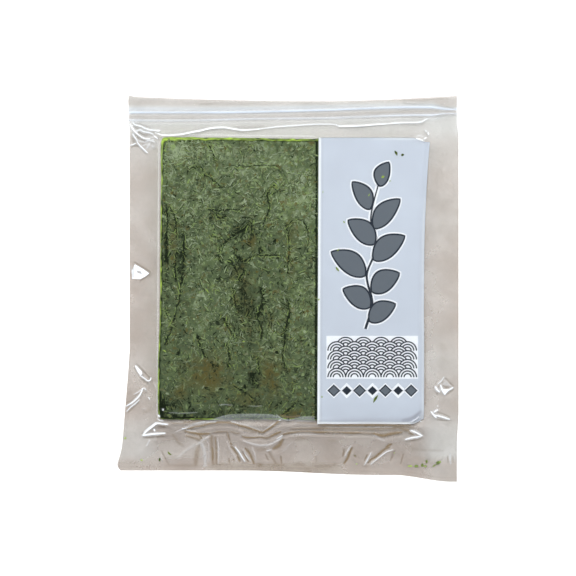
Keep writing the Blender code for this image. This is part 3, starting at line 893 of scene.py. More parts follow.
class Laver:
    """The top sheet's laver: several kinds of small forms that follow the sheet, each kind joined
    into one mesh, and all drawn from one run of random numbers."""

    def __init__(self, sizes, colours):
        self.sizes, self.colours = sizes, colours
        self.random = np.random.default_rng(SEED + 1)
        self.half_w = sizes.sheet_width / 2 - 1.6 * MM
        self.low_v = FOOT_SHORT - sizes.sheet_height / 2
        self.high_v = sizes.sheet_height / 2 - TOP_SHEET_PULL

    def height(self, x, y):
        """Height of the laver: the sheet's waves with their relief."""
        return stack_height(self.sizes, x, y) + laver_relief(x, y)

    def scatter(self, count):
        """Even places over the part of the sheet that isn't under the label."""
        u = self.random.uniform(-self.half_w, FLAKES_REACH_X, count)
        v = self.random.uniform(self.low_v + 1.2 * MM, self.high_v - 0.8 * MM, count)
        return from_stack(u, v)

    def drifts(self, count, cell, seed, bare):
        """Places that gather in drifts on the rough parts, and an angle for each that turns slowly
        over the sheet, with one in four lying across the others."""
        x, y = self.scatter(count)
        crowd = ease((layered_noise(x, y, cell, SEED + seed, 3) - 0.28) / 0.34)
        share = (crowd * (1 - bare) + bare) * (0.30 + 0.70 * roughness_of(x, y))
        keep = self.random.random(count) < share
        x, y = x[keep], y[keep]
        across = np.where(self.random.random(len(x)) < 0.25, np.pi / 2, 0.0)
        angle = 4 * np.pi * layered_noise(x, y, 20 * MM, SEED + 75, 2) + across
        return x, y, angle + self.random.normal(0, 0.5, len(x))

    def toasted(self, count):
        """Brown of some single pieces: three in ten are toasted, more or less."""
        return self.random.uniform(0.2, 1.0, count) * (self.random.random(count) < 0.3)

    def fibres(self, x, y, angle, long, wide, lift, steps=4, bed=0.04 * MM):
        """Strands by their sizes in MM, cut short near the sheet's border."""
        u, v = to_stack(x, y)
        room = np.minimum(v - self.low_v, self.high_v - v)
        room = np.minimum(u + self.sizes.sheet_width / 2, room) / MM
        long = np.minimum(long, 1.8 * np.maximum(room, 0.2))
        bend = self.random.normal(0, 0.022, len(x))
        lift = self.random.uniform(0.3, 1.0, len(x)) * lift * MM + 0.01 * MM
        return strands(x, y, angle, long * MM, wide * MM, bend, lift, self.height, steps, bed)

    def add(self, name, ribbon, shade, sap, brown=0.8, calmed=1.0):
        """A piece from ribbons and their shades, which are calmed and follow the sheet under them."""
        points, faces, per = ribbon
        middle = points.reshape(-1, per, 3)[:, per // 2]
        calm = 1.0 - calmed * (0.38 + 0.24 * past(middle[:, 1], -30, -50))
        ground = top_shade(middle[:, 0], middle[:, 1]) - 0.47
        shade = np.clip(0.49 + calm * (shade - 0.48) + 0.9 * ground, -0.4, 1.3)
        fields = {"shade": np.repeat(shade, per), "sap": np.repeat(sap, per), "rim": np.zeros(len(points)),
                  "brown": brown * patches(points[:, 0], points[:, 1], BROWN_PATCHES, SEED + 50)
                  + np.repeat(0.7 * self.toasted(len(shade)), per)}
        finish = nori_material("nori_fibre", self.colours, 0.46, 0.3)
        new_piece(name, points, faces, finish, "nori", fields)

    def torn_flakes(self):
        """Flakes: each a middle point inside a ring of uneven radius, squeezed and tilted a little."""
        random = self.random
        x, y = self.scatter(FLAKES)
        size = random.gamma(4.0, 0.34, FLAKES) * MM
        turn = np.linspace(0, 2 * np.pi, FLAKE_SIDES, endpoint=False)[None]
        radius = size[:, None] * random.uniform(0.45, 1.15, (FLAKES, FLAKE_SIDES))
        squeeze, lean = random.uniform(0.25, 0.8, (FLAKES, 1)), random.uniform(0, np.pi, (FLAKES, 1))
        a, b = radius * np.cos(turn), radius * np.sin(turn) * squeeze
        px = np.column_stack([x, x[:, None] + a * np.cos(lean) - b * np.sin(lean)])
        py = np.column_stack([y, y[:, None] + a * np.sin(lean) + b * np.cos(lean)])
        tilt = random.normal(0, 0.018, (FLAKES, 2))
        rise = 0.02 * MM + random.uniform(0, 0.03, (FLAKES, 1)) * MM
        pz = self.height(px, py) + rise + tilt[:, :1] * (px - x[:, None]) + tilt[:, 1:] * (py - y[:, None])
        ring = np.arange(FLAKE_SIDES)
        fan = np.stack([np.zeros(FLAKE_SIDES, int), ring + 1, (ring + 1) % FLAKE_SIDES + 1], -1)
        shade = random.normal(0.0, 0.19, FLAKES)[:, None] + random.normal(0, 0.05, px.shape)
        sap = random.beta(0.6, 2.2, FLAKES)
        brown = patches(px, py, BROWN_PATCHES, SEED + 50) + self.toasted(FLAKES)[:, None]
        fields = {"shade": (top_shade(px, py) + shade).ravel(), "sap": np.repeat(sap, FLAKE_SIDES + 1),
                  "rim": np.zeros(px.size), "brown": brown.ravel()}
        points = np.stack([px, py, pz], -1).reshape(-1, 3)
        new_piece("nori_flakes", points, many(FLAKE_SIDES + 1, fan, FLAKES),
                  nori_material("nori_flake", self.colours, 0.50, 0.5), "nori", fields)

    def named_cracks(self):
        """Ribbons along the cracks' drawn paths, ragged and of uneven width. Returns places and angles
        on both lips of the cracks, where bright fibres stand out."""
        random = self.random
        lines = np.array([rounded_path(points, CRACK_STEPS) for _, _, *points in CRACKS]) * MM
        lines = lines + random.normal(0, 0.32, lines.shape) * MM
        strength, wide = np.array([row[:2] for row in CRACKS]).T
        wide = wide[:, None] * MM * random.uniform(0.1, 1.25, lines.shape[:2])
        wide = wide * np.where(random.random(wide.shape) < 0.20, 0.2, 1.0)
        wide = wide * np.sin(np.linspace(0.12, np.pi - 0.12, CRACK_STEPS)) ** 0.4
        self.add("nori_cracks", ribbons(lines, wide, 0.0, self.height, 0.09 * MM), 0.45 - 0.80 * strength,
                 np.zeros(len(CRACKS)), 0.3, 0.0)
        along = np.gradient(lines, axis=1)
        lips = np.tile(lines[:, ::2].reshape(-1, 2), (2, 1))
        lean = np.tile(np.arctan2(along[:, ::2, 1], along[:, ::2, 0]).ravel(), 2)
        side = np.repeat([1.0, -1.0], len(lips) // 2) * random.uniform(0.6, 1.5, len(lips)) * MM
        keep = random.random(len(lips)) < 0.55
        x, y = lips[:, 0] - side * np.sin(lean), lips[:, 1] + side * np.cos(lean)
        return x[keep], y[keep], lean[keep]

    def bold_fibres(self, lip_x, lip_y, lean):
        """Pale fibres in drifts and, with more sap, along the cracks' lips. Returns them as places,
        angles, lengths and widths."""
        random = self.random
        x, y, angle = self.drifts(BOLD_FIBRES, 9 * MM, 70, 0.10)
        in_drifts = len(x)
        x, y = np.concatenate([x, lip_x]), np.concatenate([y, lip_y])
        angle = np.concatenate([angle, lean + random.normal(0, 0.35, len(lean))])
        count = len(x)
        long = np.clip(random.gamma(4.0, 0.85, count), 1.4, 9.0)
        wide = random.uniform(0.45, 1.10, count)
        sap = 0.95 * random.beta(0.6, 1.2, count)
        sap[in_drifts:] += 0.45
        fibres = self.fibres(x, y, angle, long, wide, 0.09)
        self.add("nori_bold_fibres", fibres, random.normal(0.80, 0.20, count), sap)
        return x, y, angle, long, wide

    def slits_and_shadows(self, x, y, angle, long, wide):
        """Dark ribbons: painted shadows on the lower side of two in three of the given fibres, and free dark
        slits in drifts.
        """
        random = self.random
        # Painted shadows of the fibres, on their lower side.
        side = np.where(np.cos(angle) > 0, -1.0, 1.0) * wide * 0.8 * MM
        shadowed = random.random(len(x)) < 0.65
        x, y = (x - side * np.sin(angle))[shadowed], (y + side * np.cos(angle))[shadowed]
        free_x, free_y, free_angle = self.drifts(FREE_SLITS, 7 * MM, 72, 0.08)
        free = len(free_x)
        x, y = np.concatenate([x, free_x]), np.concatenate([y, free_y])
        angle = np.concatenate([angle[shadowed] + random.normal(0, 0.10, shadowed.sum()), free_angle])
        long = np.concatenate([long[shadowed] * 0.9, np.clip(random.gamma(3.0, 0.85, free), 0.9, 7.0)])
        wide = np.concatenate([wide[shadowed] * 1.05, random.uniform(0.45, 1.10, free)])
        slits_and_shadows = self.fibres(x, y, angle, long, wide, 0.0, bed=0.05 * MM)
        self.add("nori_slits_and_fibre_shadows", slits_and_shadows, random.normal(0.17, 0.18, len(x)), random.uniform(0, 0.3, len(x)))

    def small_cracks(self):
        """Short random walks over the rough parts, those that stay within the sheet."""
        random = self.random
        x, y, heading = self.drifts(SMALL_CRACKS, 12 * MM, 73, 0.05)
        heading = heading[:, None] + np.cumsum(random.normal(0, 0.42, (len(x), WALK_STEPS)), axis=1)
        pace = random.uniform(0.5, 1.4, (len(x), 1)) * MM
        walk = np.stack([x[:, None] + np.cumsum(pace * np.cos(heading), 1),
                         y[:, None] + np.cumsum(pace * np.sin(heading), 1)], -1)
        u, v = to_stack(walk[..., 0], walk[..., 1])
        inside = (np.abs(u) < self.half_w) & (v > self.low_v + 1 * MM) & (v < self.high_v - 1 * MM)
        walk = walk[(inside & (walk[..., 0] < FLAKES_REACH_X - 1 * MM)).all(1)]
        wide = random.uniform(0.3, 1.0, walk.shape[:2]) * MM
        wide = wide * np.sin(np.linspace(0.2, np.pi - 0.2, WALK_STEPS))
        self.add("nori_small_cracks", ribbons(walk, wide, 0.0, self.height, 0.07 * MM),
                 random.normal(-0.02, 0.12, len(walk)), np.zeros(len(walk)))

    def fine_fibres(self):
        """Fine fibres all over, pale and dark."""
        random = self.random
        x, y, angle = self.drifts(FINE_FIBRES, 5 * MM, 77, 0.35)
        count = len(x)
        angle = angle + random.normal(0, 0.4, count)
        long = np.clip(random.gamma(3.0, 0.50, count), 0.6, 4.2)
        fibres = self.fibres(x, y, angle, long, random.uniform(0.34, 0.66, count), 0.05, 3)
        self.add("nori_fine_fibres", fibres, random.normal(0.55, 0.28, count), random.beta(0.6, 1.6, count))

    def flecks(self):
        """Small bright flecks in drifts, and in rows where the mat's threads lay."""
        random = self.random
        x, y, _ = self.drifts(FLECKS, 8 * MM, 79, 0.25)
        rows = [(random.uniform(low, high, amount), random.normal(at, 0.45, amount))
                for low, high, at, amount in FLECK_ROWS]
        x = np.concatenate([x] + [row[0] * MM for row in rows])
        y = np.concatenate([y] + [row[1] * MM for row in rows])
        count = len(x)
        angle, long = random.uniform(0, np.pi, count), random.uniform(0.5, 1.5, count)
        flecks = self.fibres(x, y, angle, long, random.uniform(0.35, 0.75, count), 0.10, 3)
        self.add("nori_flecks", flecks, random.normal(1.05, 0.18, count),
                 0.7 * random.beta(0.6, 1.2, count), 0.2)


def make_flakes(sizes, colours):
    """The top sheet's laver, kind by kind. Their order is also that of the random draws."""
    laver = Laver(sizes, colours)
    laver.torn_flakes()
    lips = laver.named_cracks()
    laver.slits_and_shadows(*laver.bold_fibres(*lips))
    laver.small_cracks()
    laver.fine_fibres()
    laver.flecks()


# ---------------------------------------------------------------- the label

LABEL_LEFT_TOP, LABEL_LEFT_BOTTOM = 22.8 * MM, 21.75 * MM
LABEL_RIGHT_LEAN, LABEL_RIGHT_EAR = 1.2 * MM, 3.7 * MM
LABEL_TOP_Y = 112.5 * MM
LABEL_FOLD = 4.2 * MM               # how much of its right side bends down beyond the stack's edge
LABEL_DROP = 0.9 * MM
LABEL_THICK = 0.10 * MM
LABEL_LOW_CORNER, LABEL_TOP_CORNER = (101, -99, 9, 5, 1), (106, 112, 8, 3.5, 1)
# Path (MM) of the painted shade along the crease of the label's lower right corner.
CORNER_CREASE = ((86, -98.6), (92, -96.6), (96, -94.2), (98.6, -92.0))
LABEL_GAP = 0.16 * MM               # over the sheet, above the flakes


def label_left(t):
    """X of the label's left edge at a share of the way up it."""
    return LABEL_LEFT_BOTTOM + (LABEL_LEFT_TOP - LABEL_LEFT_BOTTOM) * t


def label_right(y, sizes):
    """X of the label's right edge: it leans, runs out in a power further up, and a little below."""
    t = 1.0 - (LABEL_TOP_Y - y) / sizes.label_height
    ear = LABEL_RIGHT_EAR * np.clip((t - 0.6) / 0.4, 0, 1) ** 1.5
    return LABEL_LEFT_BOTTOM + sizes.label_width + LABEL_RIGHT_LEAN * t + ear + 0.45 * MM * past(y, -15, -25)


def label_height(x, y, sizes):
    """Height of the label's upper side: it lies on the stack, bends down a little beyond
    the stack's right edge, droops at its two right corners and swells near its lower end."""
    lying = stack_height(sizes, x, y) + LABEL_GAP + LABEL_THICK
    over = np.maximum(x - (label_right(y, sizes) - LABEL_FOLD), 0.0)
    turned = LABEL_DROP * ease(over / LABEL_FOLD)
    low_corner = strongest_spot(x, y, [LABEL_LOW_CORNER])
    top_corner = strongest_spot(x, y, [LABEL_TOP_CORNER])
    droop = 1.6 * MM * low_corner + 1.0 * MM * top_corner
    swell = 0.30 * MM * near(y, -86, 7) - 0.55 * MM * past(y, -92, -9)
    u, v = to_stack(x, y)
    over_sheets = np.minimum(sizes.sheet_width / 2 - u, v + sizes.sheet_height / 2)
    least = lying - 0.06 * MM - 3.0 * MM * past(over_sheets, 0.6, -3)
    return np.maximum(lying - turned - droop + swell, least)


def make_label(sizes, colours):
    """One sheet of paper: a grid across and down its plan, raised to the label's height, closed by
    the same grid one paper thickness lower."""
    s, t = np.meshgrid(graded([(0, 0.93, 0.0125), (0.93, 1.0, 0.004)]),
                       graded([(0, 0.06, 0.004), (0.06, 0.94, 0.011), (0.94, 1.0, 0.004)]), indexing="ij")
    y = LABEL_TOP_Y - sizes.label_height * (1 - t)
    left = label_left(t)
    x = left + (label_right(y, sizes) - left) * s
    near_right = past(x, 92, 11)
    y = y - 3.2 * MM * near_right * ease((t - 0.9) / 0.1) + 4.0 * MM * near_right * ease((0.06 - t) / 0.06)
    points, faces = level_slab(x, y, label_height(x, y, sizes), LABEL_THICK)
    crease, _ = path_distance(x, y, rounded_path(np.array(CORNER_CREASE) * MM, 16))
    # Painted shade at the lower end and the corner's crease; a darker strip inside the left edge; faint
    # cloud.
    dim = 0.52 * near(y, -98.8, 2.8) * past(x, 20, 26) + 0.8 * near(crease, 0, 1.3)
    dim = dim + 0.34 * near(x - left, 2.7, 0.7)
    dim = np.clip(dim + 0.16 * (layered_noise(x, y, 30 * MM, 77) - 0.5), 0, 1)
    # Bright left cut edge, and painted highlights along the lower, right and upper edges.
    edge = np.maximum(near(x - left, 0.9, 0.85), 0.85 * near(y, -100.6, 0.9))
    edge = np.maximum(edge, 0.22 * near(x - label_right(y, sizes), -1.0, 0.8) * past(y, 74, -20))
    edge = np.maximum(edge, 0.45 * near(y - LABEL_TOP_Y, -0.9, 0.8) * past(x, 55, 30))
    new_piece("paper_label", points, faces, paper_material("label_paper", colours), "paper",
              both_sides(dim=dim, edge=edge))


# The print: a leafy sprig over a band of wave scales and a row of lozenges. Places are MM from the
# label's lower left corner.
STEM = ((36, 71), (41, 90), (37, 111), (44, 132), (40, 154), (47, 184))
STEM_WIDTH = 1.5
LEAF_COUNT = 9
LEAF_LENGTH, LEAF_WIDTH = 27.0, 13.5
OUTLINE, HALO = 1.25, 1.15
SCALE_RADIUS = 6.6
SCALE_ROWS, SCALE_COLUMNS = 8, 5
SCALE_LINE = 0.95
BAND_LEFT, BAND_LOW = 8.0, 35.0
LOZENGES = 7
LOZENGE_LEFT, LOZENGE_Y = 12.4, 25.0
LOZENGE_PITCH, LOZENGE_WIDE, LOZENGE_TALL = 9.6, 3.6, 3.4


def on_label(x_mm, y_mm, sizes, lift_mm):
    """Points on the label's face from MM across and up it."""
    x = LABEL_LEFT_BOTTOM + np.asarray(x_mm) * MM
    y = LABEL_TOP_Y - sizes.label_height + np.asarray(y_mm) * MM
    return np.stack([x, y, label_height(x, y, sizes) + lift_mm * MM], -1)


def leaf(base, angle, long, wide, bend, grow):
    """A leaf's flat plan in MM: a grid along its bent midrib, as wide as a sine arch that leans
    towards its base. grow widens and lengthens it all round, for outlines."""
    t, s = np.meshgrid(np.linspace(0, 1, 22), np.linspace(-1, 1, 7), indexing="ij")
    along = -grow + t * (long + 2 * grow)
    arch = np.sin(np.pi * t ** 0.85) ** 0.8
    sideways = s * (wide / 2 * arch + grow * np.sin(np.pi * t) ** 0.45) + bend * np.sin(np.pi * t * 0.9)
    return (base[0] + along * np.cos(angle) - sideways * np.sin(angle),
            base[1] + along * np.sin(angle) + sideways * np.cos(angle))


def line_strip(points_mm, width_mm, sizes, lift_mm):
    """A drawn line: two rows of points either side of a path, half the width out along its normal."""
    points = np.asarray(points_mm, float)
    ahead = np.gradient(points, axis=0)
    normal = np.stack([-ahead[:, 1], ahead[:, 0]], -1) / np.hypot(*ahead.T)[:, None]
    width = np.broadcast_to(width_mm, len(points))[:, None]
    sides = np.stack([points - normal * width / 2, points + normal * width / 2], 1)
    return on_label(sides[..., 0], sides[..., 1], sizes, lift_mm)


def joined(grids):
    """Several grids of points as one set of points and faces, each facing up."""
    points, faces, first = [], [], 0
    for grid in grids:
        quads = grid_faces(*grid.shape[:2], first)
        a, b, c = (grid.reshape(-1, 3)[quads[0] - first][k] for k in (0, 1, 2))
        points.append(grid.reshape(-1, 3))
        faces.append(quads if np.cross(b - a, c - b)[2] > 0 else quads[:, ::-1])
        first += len(points[-1])
    return np.concatenate(points), np.concatenate(faces)


def wave_scales(sizes):
    """Rows of overlapping wave scales, a common old pattern: three arcs to a scale, each drawn only
    where no scale in front hides it."""
    centres = []
    for row in range(SCALE_ROWS):
        shift = (row % 2) * SCALE_RADIUS
        for column in range(SCALE_COLUMNS - row % 2):
            centres.append((BAND_LEFT + SCALE_RADIUS * (1 + 2 * column) + shift,
                            BAND_LOW + row * SCALE_RADIUS * 0.5, row))
    strips = []
    turn = np.linspace(0, np.pi, 60)
    for cx, cy, row in centres:
        for share in (1.0, 0.70, 0.40):
            radius = share * SCALE_RADIUS
            arc = np.stack([cx + radius * np.cos(turn), cy + radius * np.sin(turn)], -1)
            shown = np.ones(len(turn), bool)
            for ox, oy, other in centres:
                if other == row - 1 or other == row - 2:
                    shown &= np.hypot(arc[:, 0] - ox, arc[:, 1] - oy) > SCALE_RADIUS - 0.05
            cuts = np.flatnonzero(np.diff(shown.astype(int))) + 1
            for run in np.split(np.arange(len(turn)), cuts):
                if len(run) > 2 and shown[run[0]]:
                    strips.append(line_strip(arc[run], SCALE_LINE, sizes, 0.05))
    return strips


def lozenge(number, grow, sizes, lift_mm):
    """One lozenge of the row, grown all round: its height falls straight to both sides."""
    t, s = np.meshgrid(np.linspace(-1, 1, 9), np.linspace(-1, 1, 3), indexing="ij")
    x_mm = LOZENGE_LEFT + number * LOZENGE_PITCH + t * (LOZENGE_WIDE + grow)
    y_mm = LOZENGE_Y + s * (LOZENGE_TALL + grow) * (1 - np.abs(t))
    return on_label(x_mm, y_mm, sizes, lift_mm)


def make_print(sizes, colours):
    """The label's print as thin fields of ink just over the paper: white halo, dark outline, grey."""
    stem = rounded_path(STEM, 90)
    halo, dark, grey = [], [], []
    halo.append(line_strip(stem, STEM_WIDTH + 2 * HALO, sizes, 0.02))
    dark.append(line_strip(stem, STEM_WIDTH * np.linspace(1.3, 0.6, 90), sizes, 0.05))
    for number in range(LEAF_COUNT):
        share = number / (LEAF_COUNT - 1)
        base = stem[int(5 + share * 80)]
        side = -1 if number % 2 else 1
        angle = np.pi / 2 - side * (1.02 - 0.62 * share ** 3)
        long = LEAF_LENGTH * (0.82 + 0.30 * np.sin(np.pi * share) - 0.08 * (number % 3))
        wide = LEAF_WIDTH * (0.85 + 0.25 * np.sin(np.pi * share + 0.4))
        base = (base[0] + side * 1.6, base[1] + 0.8)
        for group, grow, lift in ((halo, OUTLINE + HALO, 0.02), (dark, OUTLINE, 0.04), (grey, 0.0, 0.06)):
            x, y = leaf(base, angle, long, wide, side * 2.2, grow)
            group.append(on_label(x, y, sizes, lift))
    dark += wave_scales(sizes)
    t, s = np.meshgrid(np.linspace(0, 1, 30), np.linspace(0, 1, 22), indexing="ij")
    wide = 2 * SCALE_COLUMNS * SCALE_RADIUS + 2 * HALO
    tall = SCALE_RADIUS * (0.5 * (SCALE_ROWS - 1) + 1.0) + 2 * HALO
    halo.append(on_label(BAND_LEFT - HALO + t * wide, BAND_LOW - HALO + s * tall, sizes, 0.02))
    for number in range(LOZENGES):
        halo.append(lozenge(number, OUTLINE + HALO, sizes, 0.02))
        if number % 2:
            dark.append(lozenge(number, 0.0, sizes, 0.05))
        else:
            grey.append(lozenge(number, 0.0, sizes, 0.06))
            dark.append(lozenge(number, OUTLINE, sizes, 0.04))
    for name, grids, ink, colour, uneven in (("print_halo", halo, "label_white", PRINT_WHITE, 0.05),
                                             ("print_dark", dark, "ink_dark", colours.ink_dark, 0.18),
                                             ("print_grey", grey, "ink_grey", colours.ink_grey, 0.22)):
        new_piece(name, *joined(grids), ink_material(ink, colour, uneven), "print")


# ---------------------------------------------------------------- crumbs

# Crumbs in the bag: X, Y (MM), length, width (MM), angle in degrees, paleness.
CRUMBS = (
    (80.5, 100.9, 4.2, 1.8, -62, 0.22), (85.4, 99.5, 2.4, 2, 20, 0.22), (70.8, 83.1, 2.6, 1.8, 30, 0.95),
    (76, 80.1, 1.9, 0.6, 5, 0.85), (60.3, 69.7, 2.2, 0.8, 60, 0.9), (41.7, 49.5, 1.8, 1, -60, 0.7),
    (36.8, 14.5, 4, 1.5, -55, 0.45), (37.3, 28.7, 2.6, 0.7, 50, 0.8), (26.1, 71.9, 1.4, 0.6, 80, 0.8),
    (65.2, -82.3, 6.6, 1.8, 58, 0.32), (25.3, -80.8, 1.4, 1.1, 0, 0.65), (22.9, -8.2, 1.6, 1, 60, 0.9),
    (-88.7, -123.3, 3.8, 1.3, -45, 0.55), (-96.1, -128, 2.6, 1.7, 80, 0.2),
    (-109.5, -128.4, 1.7, 1.3, 0, 0.85), (-121.7, -112, 1.9, 1.5, 60, 0.7),
    (91.3, -132.9, 3.8, 1.3, 0, 0.75), (96, -133, 3.4, 2.1, 0, 0.38), (100.6, -132.2, 2.8, 2.1, 80, 0.5),
    (102.8, -133, 2.4, 1.6, 0, 0.6), (103.7, -129.5, 2.8, 1.7, 85, 0.55),
    (112.3, -130.6, 3.4, 2.6, 40, 0.42), (113.6, -129.8, 2, 1.4, 40, 0.95),
    (109.4, -132.5, 3.4, 1.1, 40, 0.66), (50.2, -125.3, 1.2, 0.9, 0, 0.45),
    (51.3, -131.3, 1.5, 0.9, 0, 0.6), (79.5, -123, 1, 0.8, 0, 0.8), (-92, -46.5, 2.6, 1, -30, 1.2),
    (-60.5, -1.5, 4.6, 0.7, -50, 1.05), (-33, -39.5, 1.8, 1, 0, 1.1),
)


def make_crumbs(sizes, colours):
    """Loose crumbs: each a bent ribbon of sheet, widest in its middle, lying on the label or on the
    lower film."""
    random = np.random.default_rng(SEED + 2)
    x, y, long, wide, turn, pale = np.array(CRUMBS).T
    x, y, long, wide = x * MM, y * MM, long * MM, wide * MM

    def height(px, py):
        """Height of what a crumb lies on: the label, the sheets or the lower film."""
        on_label = (px > LABEL_LEFT_BOTTOM) & (py > LABEL_TOP_Y - sizes.label_height)
        u, v = to_stack(px, py)
        on_sheet = (np.abs(u) < sizes.sheet_width / 2) & (np.abs(v) < sizes.sheet_height / 2)
        low = np.where(on_sheet, stack_height(sizes, px, py) + 0.06 * MM, 0.35 * MM)
        return np.where(on_label, label_height(px, py, sizes) + 0.05 * MM, low)

    points, faces, per = strands(x, y, np.radians(turn), long, wide, random.normal(0, 0.06, len(x)),
                                 np.full(len(x), 0.14 * MM), height, steps=7)
    fields = {"shade": np.repeat(pale, per) + random.normal(0, 0.12, len(points)),
              "sap": np.repeat(0.2 + 0.8 * pale, per), "rim": np.repeat(pale * 0.38, per),
              "brown": np.full(len(points), 0.35)}
    new_piece("nori_crumbs", points, faces, nori_material("nori_sheet", colours), "nori", fields)


# ---------------------------------------------------------------- the film

FILM_RIM = 0.16 * MM                # upper film on the welded border
FILM_BY_ZIP = 1.2 * MM
LIP_HEIGHT = 0.9 * MM
BORDER = 3.2 * MM                   # welded border
FALL = 1.55                         # how fast the film drops off the stack, 1 is a straight tent
BACK_FILM = 0.07 * MM
FRONT_HAZE = 0.006
BACK_HAZE = 0.50                    # of the lower film, where it doesn't lie on the sheets
ZIP_HAZE = 0.02
ZIP_FOOT = 0.35 * MM
ZIP_TAPE = 1.0 * MM

# The zip's ribs: distance from its middle line, height and half width, all MM.
ZIP_RIBS = ((3.1, 0.50, 0.95), (1.2, 0.16, 0.50), (-0.4, 0.16, 0.60), (-3.1, 0.28, 0.80))
